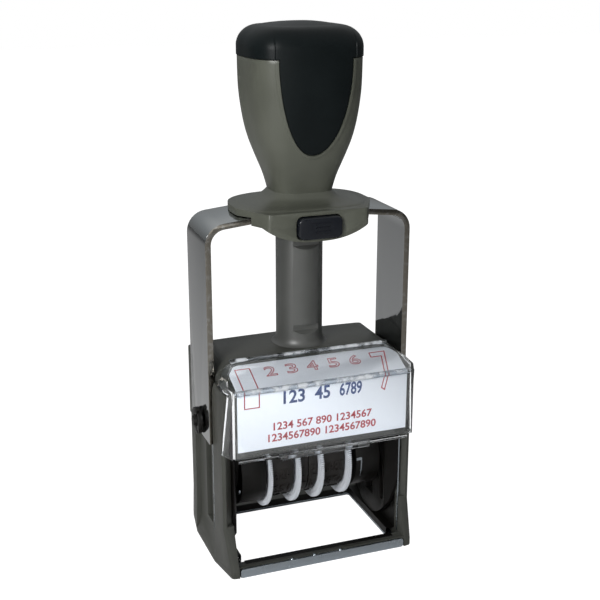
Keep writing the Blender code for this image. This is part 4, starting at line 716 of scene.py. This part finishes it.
@dataclass
class Studio:
    """Pale floor, soft lights and the photograph's camera."""

    camera_mm: Place = (-117.3, -311.1, 184.5)
    aim_mm: Place = (0.338, 0.0, 80.503)
    roll_deg: float = 0.052
    focal_px: float = 1106.73
    image_px: float = 600.0
    sensor_mm: float = 36.0
    floor_mm: float = 4000.0
    glow: float = 1.32
    glow_share: float = 0.82
    world_strength: float = 0.07
    mirror_steps: tuple = ((0.0, "7E8080"), (0.10, "8B8E8F"), (0.30, "A6AAAC"), (0.55, "DADCDC"), (0.9, "FFFFFF"))
    lamps: tuple = (
        ("key_lamp", (-330.0, -330.0, 260.0), 160.0, 2.5),
        ("front_lamp", (-60.0, -700.0, 120.0), 400.0, 0.7),
        ("fill_lamp", (520.0, -300.0, 300.0), 380.0, 0.08),
        ("back_lamp", (60.0, 520.0, 520.0), 420.0, 0.7),
    )

    def build(self) -> None:
        """Make the floor, the world, the lamps and the camera."""
        self.make_floor()
        self.make_world()
        for name, place, size, power in self.lamps:
            self.make_lamp(name, place, size, power)
        self.make_camera()
        bpy.context.scene.view_settings.view_transform = "Standard"

    def make_floor(self) -> None:
        """Pale floor that is white to the camera apart from a soft shadow."""
        half = self.floor_mm * MM / 2
        form = bmesh.new()
        corners = [form.verts.new((x * half, y * half, 0.0)) for x, y in ((-1, -1), (1, -1), (1, 1), (-1, 1))]
        form.faces.new(corners)
        floor = link(to_mesh(form, "floor"), "floor")
        shade, tree, shader, _ = blank("floor_paper")
        settle(tree, shader, {"Roughness": 0.9, "Base Color": linear("F4F4F4")}, {})
        glow = add(tree, "Emission", {"Color": linear("FFFFFF"), "Strength": self.glow})
        seen = either(tree, "Is Camera Ray", "Is Transmission Ray")
        part = add(tree, "Math", {"operation": "MULTIPLY", 1: self.glow_share}, {0: seen})
        paper = mixed(tree, part.outputs[0], shader, glow)
        tree.links.new(paper.outputs[0], tree.nodes["Material Output"].inputs["Surface"])
        floor.data.materials.append(shade)

    def make_world(self) -> None:
        """White to the camera, even on matt faces, graded in reflections and through the clear cover."""
        world = bpy.data.worlds.new("studio_world")
        bpy.context.scene.world = world
        world.use_nodes = True
        tree = world.node_tree
        tree.nodes.clear()
        height = add(tree, "SeparateXYZ", None, {0: add(tree, "TexCoord").outputs["Generated"]})
        ramp = add(tree, "ValToRGB", None, {0: height.outputs[2]})
        steps = ramp.color_ramp.elements
        for at, (place, sheet) in enumerate(self.mirror_steps):
            step = steps[at] if at < 2 else steps.new(place)
            step.position, step.color = place, linear(sheet)
        even = add(tree, "Background", {"Color": linear("FFFFFF"), "Strength": self.world_strength})
        mirror = add(tree, "Background", None, {"Color": ramp.outputs[0]})
        white = add(tree, "Background", {"Color": linear("FFFFFF")})
        lit = mixed(tree, either(tree, "Is Glossy Ray", "Is Transmission Ray"), even, mirror)
        sky = mixed(tree, add(tree, "LightPath").outputs["Is Camera Ray"], lit, white)
        add(tree, "OutputWorld", None, {"Surface": sky.outputs[0]})

    def make_lamp(self, name: str, place_mm: Place, size_mm: float, power: float) -> None:
        """Aim one soft square lamp at the middle of the stamp."""
        light = bpy.data.lights.new(name, "AREA")
        light.size = size_mm * MM
        light.energy = power
        lamp = placed(name, light)
        lamp.location = Vector(place_mm) * MM
        lamp.rotation_euler = (Vector(self.aim_mm) * MM - lamp.location).to_track_quat("-Z", "Y").to_euler()
        lamp.visible_glossy = name != "back_lamp"

    def make_camera(self) -> None:
        """Set the camera that was fitted to the photograph's edges."""
        lens = bpy.data.cameras.new("photo_camera")
        lens.sensor_width = self.sensor_mm
        lens.lens = self.sensor_mm * self.focal_px / self.image_px
        lens.clip_start = MM
        camera = placed("photo_camera", lens)
        place = Vector(self.camera_mm) * MM
        turn = (Vector(self.aim_mm) * MM - place).to_track_quat("-Z", "Y").to_matrix().to_4x4()
        roll = Matrix.Rotation(math.radians(self.roll_deg), 4, "Z")
        camera.matrix_world = Matrix.Translation(place) @ turn @ roll
        bpy.context.scene.camera = camera


@dataclass
class Handle:
    """Grip with its collar, black cap with the tongue, and the ribbed lock button."""

    waist_mm: float = 116.4
    seam_mm: float = 156.3
    top_mm: float = 166.0
    collar_top_mm: float = 112.6
    collar_mm: Point = (21.7, 17.0)
    collar_power: float = 0.8
    wing_mm: Point = (6.8, 9.8)  # radius and depth of a round end
    wing_face: Point = (15.5, 17.0)
    wing_turn: Outline = ((16.05, 15.9), (15.75, 16.55), (15.2, 16.92), (14.4, 17.0))
    apron_mm: float = 103.6
    apron_arch: Place = (16.4, 4.4, 2.6)  # half width, rise and power of its lower edge
    tunnel_mm: Place = (66.0, 112.8, 80.0)  # half width, peak and floor of the yoke's way
    tunnel_pitch_deg: float = 6.0
    button_mm: Point = (0.0, 107.9)
    # Shares of the height, each with a share of the way out from the neck
    bulb_shares: Outline = (
        (0.0, 0.0), (0.12, 0.163), (0.26, 0.43), (0.40, 0.675), (0.55, 0.843), (0.76, 0.97), (1.0, 1.0))
    cove_shares: Outline = ((-0.08, 1.0), (0.08, 0.88), (0.26, 0.48), (0.56, 0.18), (1.0, 0.0))
    cove_mm: Point = (19.6, 15.0)
    neck: Point = (9.2, 8.5)
    shoulder: Point = (17.3, 15.6)
    proud_mm: float = 0.2
    cap_edge_mm: float = 6.2
    panel_half_mm: float = 12.4
    panel_sink_mm: float = 0.3
    tongue_half_mm: float = 11.2
    tongue_tip_mm: float = 128.3
    lip_mm: float = 1.2
    fit_mm: float = 0.3
    squareness: float = 3.4
    around: int = 128

    def squircle(self, half_x: float, half_y: float, height: float) -> list[tuple]:
        """List a rounded-square ring."""
        points = []
        for step in range(self.around):
            angle = 2 * math.pi * (step + 0.5) / self.around
            across, deep = (eased(share, 2 / self.squareness) for share in (math.cos(angle), math.sin(angle)))
            points.append((half_x * across, half_y * deep, height))
        return points

    def swept(self, shares: Outline, wide: Point, low: float, high: float, offset: float = 0.0) -> Rings:
        """Rings between two heights, each from a share of the height and a share of the way out from the neck."""
        rings = []
        for up, out in shares:
            half = [near + (far - near) * out + offset for near, far in zip(self.neck, wide)]
            rings.append(self.squircle(*half, low + (high - low) * up))
        return rings

    def bulb(self, offset: float, top: float) -> Rings:
        """Rings from the waist to the seam, grown by an offset."""
        return self.swept(through(self.bulb_shares, 6), self.shoulder, self.waist_mm, top, offset)

    def cove(self) -> Rings:
        """Rings of the cove from the collar's top in to the waist."""
        return self.swept(through(self.cove_shares, 5)[:-1], self.cove_mm, self.collar_top_mm, self.waist_mm)

    def tongue(self, grow: float) -> Mesh:
        """Prism with the outline of the cap's tongue, half an ellipse under the cap, grown by an offset."""
        tip, half_x = self.tongue_tip_mm - grow, self.tongue_half_mm + grow
        rise = self.seam_mm - tip
        angles = [math.pi / 2 * step / 32 for step in range(33)]
        half = [(half_x * math.sin(a), tip + rise * (1 - math.cos(a))) for a in angles]
        half.append((half_x, self.seam_mm + 2.0))
        return extrude(half + [(-x, z) for x, z in reversed(half[1:])], "y", -33.0, -4.7)

    def collar(self) -> Mesh:
        """Collar with round wing ends over an apron that hangs in one arc, and soft edges."""
        (half, deep), (radius, wing_deep) = self.collar_mm, self.wing_mm
        middle = Vector((half - radius, wing_deep - radius))
        lean = Vector(self.wing_face) - middle
        turn = math.degrees(math.atan2(lean.y, lean.x) - math.acos(radius / lean.length))
        quarter = arc(tuple(middle), radius, 0, turn, 12) + list(self.wing_turn)
        front = [(x, -y) for x, y in quarter + [(-x, y) for x, y in reversed(quarter)]]
        rear = [(half * eased(math.cos(angle), self.collar_power), deep * eased(math.sin(angle), self.collar_power))
                for angle in (math.pi * step / 48 for step in range(1, 48))]
        wings = extrude(rear + list(reversed(front)), "z", 108.4, self.collar_top_mm)
        half, rise, power = self.apron_arch
        arch = [(half * at / 24, self.apron_mm + rise * abs(at / 24) ** power) for at in range(24, -25, -1)]
        arch = extrude(arch + [(-half, 109.4), (half, 109.4)], "y", -34.0, 34.0)
        apron = boolean(extrude(pill(16.2, 16.95, 1.4), "z", 99.0, 108.9), [arch], "INTERSECT")
        block = boolean(wings, [apron], "UNION")
        return welded(baked(rounded(block, "collar_block", 0.9, 4, 25.0), "collar_block"))

    def make_grip(self) -> None:
        """Grip and collar with a raised lip round the tongue, cut for all that passes through it."""
        top = self.seam_mm - self.fit_mm
        bulb = ring_loft(self.cove() + self.bulb(0.0, top))
        lip = boolean(self.tongue(self.lip_mm), [ring_loft(self.bulb(self.proud_mm, top))], "INTERSECT")
        body = boolean(self.collar(), [bulb, lip], "UNION")
        half, peak, floor = self.tunnel_mm
        eave = peak - half * math.tan(math.radians(self.tunnel_pitch_deg))
        tunnel = [(half, eave), (0.0, peak), (-half, eave), (-half, floor), (half, floor)]
        recess = boolean(self.tongue(self.fit_mm), [ring_loft(self.bulb(-1.0, self.seam_mm + 4.0))], "DIFFERENCE")
        tools = [
            extrude(tunnel, "y", -10.3, 10.3),
            extrude(ring((0.0, 0.0), 7.6), "z", 99.6, 147.3),
            recess,
            extrude(pill(7.2, 3.6, 1.9, self.button_mm, 9), "y", -27.3, -12.07),
            box((-3.3, -16.0, 104.7), (3.3, -6.0, 106.7)),
        ]
        tools += [extrude(ring((side.value * 13.1, 0.0), 1.5, 32), "z", 103.6, 113.3) for side in Side]
        grip = rounded(boolean(body, tools, "DIFFERENCE"), "grip_moulding", 0.12, 2, 40.0)
        record_piece(grip, GRIP_ABS, Body.HANDLE, "handle_grip")

    def cap_rings(self) -> Rings:
        """Rings of the cap, fine enough for the crisp edges of its sunk front panel."""
        edge, high = self.cap_edge_mm, self.top_mm - 1.0
        half_x, half_y = self.shoulder[0] + self.proud_mm, self.shoulder[1] + self.proud_mm
        levels = [(0.0, self.seam_mm, 1.0)]
        for step in range(19):
            angle = math.radians(90 * step / 18)
            inset = edge * (1 - math.cos(angle))
            levels.append((inset, high - edge + edge * math.sin(angle), max(0.0, math.cos(angle * 1.5))))
        rings = []
        for inset, height, fade in levels:
            points = []
            for x, y, z in self.squircle(half_x - inset, half_y - inset, height):
                into = min(1.0, max(0.0, (self.panel_half_mm + 0.1 - abs(x)) / 0.2)) if y < 0 else 0.0
                points.append((x, y + self.panel_sink_mm * fade * into, z))
            rings.append(points)
        for out, up in ((0.9, 0.19), (0.72, 0.5), (0.5, 0.78), (0.3, 0.94), (0.1, 1.0)):
            rings.append(self.squircle((half_x - edge) * out, (half_y - edge) * out, high + up))
        return rings

    def make_cap(self) -> None:
        """Cap with a crowned top, a sunk front panel and the tongue that carries on from it."""
        surface = self.proud_mm - self.panel_sink_mm
        tongue = boolean(ring_loft(self.bulb(surface, self.seam_mm + 2.0)), [self.tongue(0.0)], "INTERSECT")
        tongue = boolean(tongue, [ring_loft(self.bulb(-0.7, self.seam_mm + 4.0))], "DIFFERENCE")
        fine = Handle(around=640)
        whole = boolean(ring_loft(fine.cap_rings()), [tongue], "UNION")
        record_piece(link(whole, "cap_moulding", 32.0), CAP_ABS, Body.HANDLE, "handle_cap")

    def make_button(self) -> None:
        """Lock button: a glossy key with rounded edges, three short ribs and the latch behind."""
        key = rounded(extrude(pill(6.9, 3.3, 1.8, self.button_mm), "y", -18.6, -14.0), "key", 0.55, 4, 40.0)
        heights = [self.button_mm[1] + 1.25 * at for at in (-1, 0, 1)]
        ribs = [extrude(pill(2.4, 0.3, 0.28, (0.8, height), 6), "y", -18.85, -17.6) for height in heights]
        latch = box((-3.0, -16.0, 105.0), (3.0, -8.0, 106.4))
        whole = boolean(baked(key, "key"), ribs + [latch], "UNION")
        record_piece(link(whole, "button_moulding", 32.0), BUTTON_ABS, Body.BUTTON, "lock_button")

    def build(self) -> None:
        """Make the handle."""
        self.make_grip()
        self.make_cap()
        self.make_button()


@dataclass
class Yoke:
    """Chromed strap with its screws, the pivot shaft and its hubs, the plunger and the return spring."""

    def build(self) -> None:
        """Make the parts that ride with the handle, and the spring, which stays with the frame and keeps a mesh of its
        own.
        """
        dress("yoke", "strap", CHROME, Body.HANDLE, 0.35, 3)
        spring = link(merged_copy("return_spring"), "press_spring", 50.0)
        record_piece(spring, STEEL, Body.FRAME, "return_spring")
        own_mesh(spring)
        dress("plunger_rod", "plunger", STEEL, Body.HANDLE, 0.15)
        dress("pivot_shaft", "shaft", INNER_ABS, Body.HANDLE, 0.15)
        for side in Side:
            dress(f"yoke_screw_{side.word}", f"screw_{side.word}", STEEL, Body.HANDLE, 0.12)
            dress(f"pivot_hub_{side.word}", f"hub_{side.word}", INNER_ABS, Body.HANDLE, 0.12)


@dataclass
class Frame:
    """Grey main moulding with black skins of painted shade inside, guide column, cam walls, steel base ring and guide
    strips.
    """

    pillar_wedge: Outline = ((27.0, -18.4), (30.5, -18.4), (30.4, -17.8), (28.1, -15.2), (27.0, -15.2))
    pillar_mm: Point = (15.5, 39.2)
    wall_bow: Place = (17.4, 14.0, 25.0)  # half length, rise and upturn of the lower edge
    wall_lead_in: Outline = ((25.0, -11.7), (25.0, -18.0), (27.75, -18.0), (27.5, -17.2), (25.5, -12.0))
    column_profile: Outline = (
        (66.9, 8.8), (67.5, 8.8), (67.72, 8.45), (68.1, 8.05), (68.7, 7.7), (69.5, 7.45), (70.6, 7.3),
        (111.5, 7.3), (111.85, 7.18), (112.0, 6.9))
    latch_mm: Outline = ((72.6, 74.6), (99.8, 106.8))  # ledge and top of each place
    lining: Outline = (
        # Outline in X and Z of the side skins of painted shade
        (28.14, 2.9), (28.14, 40.0), (28.0, 40.0), (28.0, 3.2), (25.1, 3.2), (25.1, 0.9), (25.25, 0.9), (25.25, 2.9))
    shaft_slot: Outline = ((-2.95, 9.5), (2.95, 9.5), (2.95, 41.0), (-2.95, 41.0))
    nub_profile: Outline = ((2.6, 0.6), (3.0, 0.6), (3.3, 0.46), (3.45, 0.2))

    def build(self) -> None:
        """Make the parts that stand still."""
        self.make_body()
        self.make_column()
        self.make_shade_skins()
        self.make_glints()
        dress("base_ring", "ring_lining", STEEL, Body.FRAME, 0.15)
        for side in Side:
            dress(f"guide_strip_{side.word}", f"strip_{side.word}", STEEL, Body.FRAME, 0.1)
            self.make_cam_wall(side)

    def make_body(self) -> None:
        """Main moulding, its front pillars chamfered on their inner corners above the feet."""
        tools = [extrude(side.flip(self.pillar_wedge), "z", *self.pillar_mm) for side in Side]
        solid = boolean(welded(merged_copy("main_frame")), tools, "DIFFERENCE")
        record_piece(rounded(solid, "frame_body", 0.3), FRAME_ABS, Body.FRAME, "main_frame")

    def make_cam_wall(self, side: Side) -> None:
        """Cam wall whose lower edge rises in a bow to its ends, with a lead-in cut at the front end."""
        half, rise, turn_up = self.wall_bow
        shares = [step / 20 for step in range(-20, 21)]
        below = [(half * s, 3.0 + rise * s * s + turn_up * max(0.0, abs(s) - 0.8)) for s in shares]
        tools = [extrude(below + [(half, 2.0), (-half, 2.0)], "x", -30.0, 30.0),
                 extrude(side.flip(self.wall_lead_in), "z", 2.0, 56.0)]
        node = f"cam_plate_{side.word}"
        solid = boolean(welded(merged_copy(node)), tools, "DIFFERENCE")
        record_piece(rounded(solid, f"cam_wall_{side.word}", 0.15), INNER_ABS, Body.FRAME, node)

    def make_column(self) -> None:
        """Column that flares out on the hood's roof, with a flat ledge and ramp for each latch place."""
        tools = [extrude(ring((0.0, 0.0), 5.5, 64), "z", 66.0, 113.0)]
        for low, high in self.latch_mm:
            tools.append(extrude([(-6.0, high), (-6.0, low), (-7.6, low - 1.3), (-7.6, high)], "x", -8.0, 8.0))
        solid = boolean(turned(self.column_profile, "z", (0.0, 0.0), 128), tools, "DIFFERENCE")
        record_piece(link(solid, "column", 30.0), COLUMN_ABS, Body.FRAME, "guide_column")

    def make_shade_skins(self) -> None:
        """Thin black skins over the frame's inner faces as painted shade inside the frame; the side skins have a slot
        that the pivot shaft runs in.
        """
        skins = {"shade_skin_rear": box((-25.15, 16.62, 0.9), (25.15, 16.82, 3.16)),
                 "shade_skin_front": box((-25.15, -18.42, 0.9), (25.15, -18.22, 3.1)),
                 "shade_skin_sill": box((-25.15, -20.3, 3.04), (25.15, -18.3, 3.16))}
        for side in Side:
            skin = extrude(side.flip(self.lining), "y", -15.0, 16.8)
            skins[f"lining_{side.word}"] = boolean(skin, [extrude(self.shaft_slot, "x", -29.0, 29.0)], "DIFFERENCE")
        for name, mesh in skins.items():
            record_piece(link(mesh, name), INNER_ABS, Body.FRAME)

    def make_glints(self) -> None:
        """Bright edge strip beside the year wheel and three steel dots on the sill."""
        strip = box((27.72, -17.4, 3.1), (28.12, -17.0, 37.0))
        record_piece(rounded(strip, "clip_0", 0.06), STEEL, Body.FRAME)
        for at, x in enumerate((-10.8, -3.2, 5.6)):
            record_piece(link(turned(self.nub_profile, "z", (x, -22.4), 24), f"nub_{at}"), STEEL, Body.FRAME)


@dataclass
class IndexWindow:
    """Clear cover over a white card with generic print: plain figures only."""

    fold_mm: Point = (-21.5, 60.725)
    slope_deg: float = 22.1
    ink_mm: float = 0.03
    # Texts with their place on the card and, apart from the small ones, their width and height
    date: tuple = (("123", -13.2, 6.9), ("45", -3.1, 5.0), ("6789", 5.0, 7.4))
    lines: tuple = (("1234 567 890 1234567", -16.4, -13.2, 32.3), ("1234567890 1234567890", -18.1, -16.8, 35.4))
    large: tuple = (("1", -25.4, 4.6, 14.6), ("7", 18.5, 5.2, 14.4))
    small: tuple = (("2", -14.8), ("3", -8.0), ("4", -1.3), ("5", 5.7), ("6", 12.8))
    beads: tuple = ((-22.2, 61.0, 28.6, 0.85), (-9.75, 66.7, 26.2, 0.65))  # y, z, half length and radius

    def on_card(self, x: float, s: float, h: float) -> Place:
        """Place a point of the flat card on its folded form: down the front or up the slope."""
        fold_y, fold_z = self.fold_mm
        if s <= 0.0:
            return (x, fold_y - h, fold_z + s)
        rise, run = math.sin(math.radians(self.slope_deg)), math.cos(math.radians(self.slope_deg))
        return (x, fold_y + s * run - h * rise, fold_z + s * rise + h * run)

    def make_print(self) -> None:
        """Blue figures in the date's place, red ones for the lines, outlined ones over the fold."""
        depth = self.ink_mm
        blue = [(glyphs(text, width, 4.25, depth, weight=0.022), (x, -5.1)) for text, x, width in self.date]
        red = [(glyphs(text, width, 2.6, depth, weight=0.02), (x, s)) for text, x, s, width in self.lines]
        red += [(outlined(text, width, height, 0.34, depth), (x, -5.0)) for text, x, width, height in self.large]
        red += [(outlined(text, 3.4, 3.9, 0.26, depth), (middle - 1.7, 5.4)) for text, middle in self.small]
        for name, forms, ink, bends in (("blue_figures", blue, BLUE_INK, ()), ("red_figures", red, RED_INK, (0.0,))):
            record_piece(link(mapped(forms, self.on_card, name, bends), name), ink, Body.FRAME)

    def build(self) -> None:
        """Make the cover with its beads and lip, the card and its print."""
        dress("index_cover", "clear_shell", ACRYLIC, Body.FRAME, 0.45, 4)
        for at, (y, z, half, radius) in enumerate(self.beads):
            profile = [(-half, radius * 0.4), (-half + 0.3, radius), (half - 0.3, radius), (half, radius * 0.4)]
            record_piece(link(turned(profile, "x", (y, z), 20), f"cover_bead_{at}"), RIM_ACRYLIC, Body.FRAME)
        bar, tab = box((-27.9, -23.1, 38.75), (27.9, -22.5, 39.35)), box((-14.6, -23.5, 38.0), (14.6, -22.4, 39.6))
        record_piece(rounded(boolean(bar, [tab], "UNION"), "cover_lip", 0.15, 3), ACRYLIC, Body.FRAME)
        dress("index_card", "card", CARD, Body.FRAME, 0.03, 1)
        self.make_print()


@dataclass
class Platen:
    """Turning carrier with its index springs, text plate, bridge and axle."""

    axle_mm: Point = (0.0, 27.2)
    clip_radii_mm: Point = (12.2, 12.55)
    # Start along X and width in mm, first and last angle in degrees
    clips: tuple = ((16.8, 0.34, -25.0, 7.0), (15.3, 1.7, 4.0, 8.0), (-24.6, 0.5, -20.0, -13.0))
    face_mm: float = 57.45
    lines: tuple = (("1234567890 1234567890", -12.4, 40.0), ("1234 567 890 1234567", -8.4, 36.0),
                    ("123 456 7890", 8.2, 34.0))

    def build(self) -> None:
        """Make the platen."""
        dress("platen_carrier", "carrier", INNER_ABS, Body.PLATEN, 0.15)
        self.make_clips()
        dress("text_plate", "text_rubber_plate", TEXT_RUBBER, Body.PLATEN, 0.12)
        forms = [(glyphs(text, width, 2.9, 0.35, True), (-width / 2, y)) for text, y, width in self.lines]
        raised = mapped(forms, lambda x, y, h: (x, y, self.face_mm + h), "plate_figures")
        record_piece(link(raised, "plate_figures", 30.0), TEXT_RUBBER, Body.PLATEN)
        dress("band_bridge", "bridge", WHEEL_NYLON, Body.PLATEN, 0.12)
        dress("wheel_axle", "axle", STEEL, Body.PLATEN, 0.2)

    def make_clips(self) -> None:
        """Thin steel index springs on the end blocks, bent round the axle."""
        for at, (start, width, low, high) in enumerate(self.clips):
            inner, outer = (arc(self.axle_mm, radius, low, high, 8) for radius in self.clip_radii_mm)
            outline = [(-y, z) for y, z in inner + outer[::-1]]
            clip = link(extrude(outline, "x", start, start + width), f"index_clip_{at}")
            record_piece(clip, STEEL, Body.PLATEN)


@dataclass
class DateTrain:
    """Four setting wheels with fine teeth, and their date bands with raised figures that read backwards."""

    axle_mm: Point = (0.0, 27.2)
    wheel_mm: float = 14.2
    drum_mm: float = 10.1
    band_mm: float = 11.4
    disc_mm: float = 0.9
    slim_mm: float = 0.3
    teeth: int = 132
    tooth_mm: Point = (1.5, 0.3)
    root_mm: float = 1.2
    sunk_mm: float = 0.3
    soft_mm: float = 0.1
    bore_mm: float = 2.3
    packed_band_mm: float = 12.4
    hug_m: Point = (0.045, 0.018)  # where a band starts to close on its drum, and over what height
    figure_mm: Point = (1.9, 3.7)
    figures: tuple = (("month", ("123", "456", "789"), 1), ("tens", ("1", "2", "3"), 1),
                      ("units", ("4", "5", "6"), -1), ("year", ("6789", "7890", "8901"), -1))

    def teeth_round(self, middle: float) -> Mesh:
        """Repeat one tooth round a wheel with Geometry Nodes.

        Args:
            middle: Middle of the toothed disc along X.

        Returns:
            The teeth as one baked mesh.
        """
        tree = bpy.data.node_groups.new("teeth", "GeometryNodeTree")
        tree.interface.new_socket("Geometry", in_out="OUTPUT", socket_type="NodeSocketGeometry")
        deep, wide = self.tooth_mm
        radius = (self.wheel_mm - deep / 2) * MM
        circle = add(tree, "GeometryNodeMeshCircle", {"Vertices": self.teeth, "Radius": radius})
        cube = add(tree, "GeometryNodeMeshCube", {"Size": (deep * MM, wide * MM, self.disc_mm * MM)})
        place = add(tree, "GeometryNodeInputPosition")
        aim = add(tree, "FunctionNodeAlignRotationToVector", {"axis": "X"}, {"Vector": place.outputs[0]})
        copies = add(tree, "GeometryNodeInstanceOnPoints", None, {
            "Points": circle.outputs["Mesh"], "Instance": cube.outputs["Mesh"], "Rotation": aim.outputs[0]})
        real = add(tree, "GeometryNodeRealizeInstances", None, {"Geometry": copies.outputs[0]})
        shade = {"Material": shade_of(WHEEL_NYLON)}
        finish = add(tree, "GeometryNodeSetMaterial", shade, {"Geometry": real.outputs[0]})
        add(tree, "NodeGroupOutput", None, {0: finish.outputs[0]})
        scratch = link(bpy.data.meshes.new("teeth"), "teeth")
        scratch.modifiers.new("teeth", "NODES").node_group = tree
        mesh = baked(scratch, "teeth")
        mesh.transform(Matrix.Translation(Vector((middle, *self.axle_mm)) * MM) @ Matrix.Rotation(math.pi / 2, 4, "Y"))
        return mesh

    def make_wheel(self, word: str, side: int) -> None:
        """White wheel: a toothed disc with a sunk face, and the drum inside the band."""
        low, high = (corner[0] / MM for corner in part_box(f"wheel_{word}"))
        outer, inner = (low + self.slim_mm, high) if side > 0 else (high, low)
        rim, root = outer + side * self.disc_mm, self.wheel_mm - self.root_mm
        sunk, soft = outer + side * self.sunk_mm, self.soft_mm
        profile = [(sunk, 1.0), (sunk, 12.5), (outer, 12.8), (outer, root - soft), (outer + side * soft, root),
                   (rim - side * soft, root), (rim, root - soft), (rim, self.drum_mm), (inner, self.drum_mm),
                   (inner, 1.0)]
        bore = extrude(ring(self.axle_mm, self.bore_mm), "x", -26.0, 26.0)
        form = bmesh.new()
        form.from_mesh(boolean(turned(profile, "x", self.axle_mm), [bore], "DIFFERENCE"))
        form.from_mesh(self.teeth_round((outer + rim) / 2))
        wheel = link(poured(form, "wheel"), f"disc_{word}", 30.0)
        record_piece(wheel, WHEEL_NYLON, f"wheel_{word}", f"wheel_{word}")

    def on_drum(self, x: float, s: float, h: float) -> Place:
        """Place a point of a band's figures on its round run below."""
        angle, reach = s / self.band_mm, self.band_mm + h
        return (x, self.axle_mm[0] - reach * math.cos(angle), self.axle_mm[1] + reach * math.sin(angle))

    def make_band(self, word: str) -> None:
        """Rubber loop that hugs the drum below and runs up to the printing face."""
        mesh = merged_copy(f"band_{word}")
        middle = self.axle_mm[1] * MM
        top, over = self.hug_m
        for vert in mesh.vertices:
            share = min(1.0, max(0.0, (top - vert.co.z) / over))
            grip = 1 - share * (1 - self.band_mm / self.packed_band_mm)
            vert.co.y *= grip
            if vert.co.z < middle:
                vert.co.z = middle + (vert.co.z - middle) * grip
        record_piece(rounded(mesh, f"loop_{word}", 0.12), BAND_RUBBER, Body.PLATEN, f"band_{word}")

    def make_figures(self, word: str, texts: tuple) -> None:
        """Raised figures round a band's lower run, split where the run bends."""
        low, high = (corner[0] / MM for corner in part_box(f"band_{word}"))
        wide, tall = self.figure_mm
        forms = []
        for at, angle in enumerate(range(-205, 31, 29)):
            text = texts[at % len(texts)]
            width = min(high - low - 0.7, wide * len(text))
            corner = (low + high - width) / 2, math.radians(angle) * self.band_mm - tall / 2
            forms.append((glyphs(text, width, tall, 0.35, True), corner))
        cuts = tuple(at * 1.2 for at in range(-40, 10))
        raised = link(mapped(forms, self.on_drum, "figures", cuts), f"figures_{word}", 30.0)
        record_piece(raised, BAND_RUBBER, Body.PLATEN)

    def build(self) -> None:
        """Make the wheels and the bands."""
        for word, texts, side in self.figures:
            self.make_band(word)
            self.make_wheel(word, side)
            self.make_figures(word, texts)


@dataclass
class InkTray:
    """Ink tray that slides out behind, with its pad."""

    def build(self) -> None:
        """Make the tray and the pad."""
        dress("ink_tray", "tray", INNER_ABS, Body.TRAY, 0.15)
        dress("ink_pad", "pad", FELT, Body.TRAY, 0.2)


def main() -> None:
    """Dress the stamp and light it as in the photograph."""
    logging.basicConfig(level=logging.INFO, format="%(message)s")
    for assembly in (Handle(), Yoke(), Frame(), IndexWindow(), Platen(), DateTrain(), InkTray(), Studio()):
        assembly.build()
        LOG.info("%s is built", type(assembly).__name__)


if __name__ == "__main__":
    main()
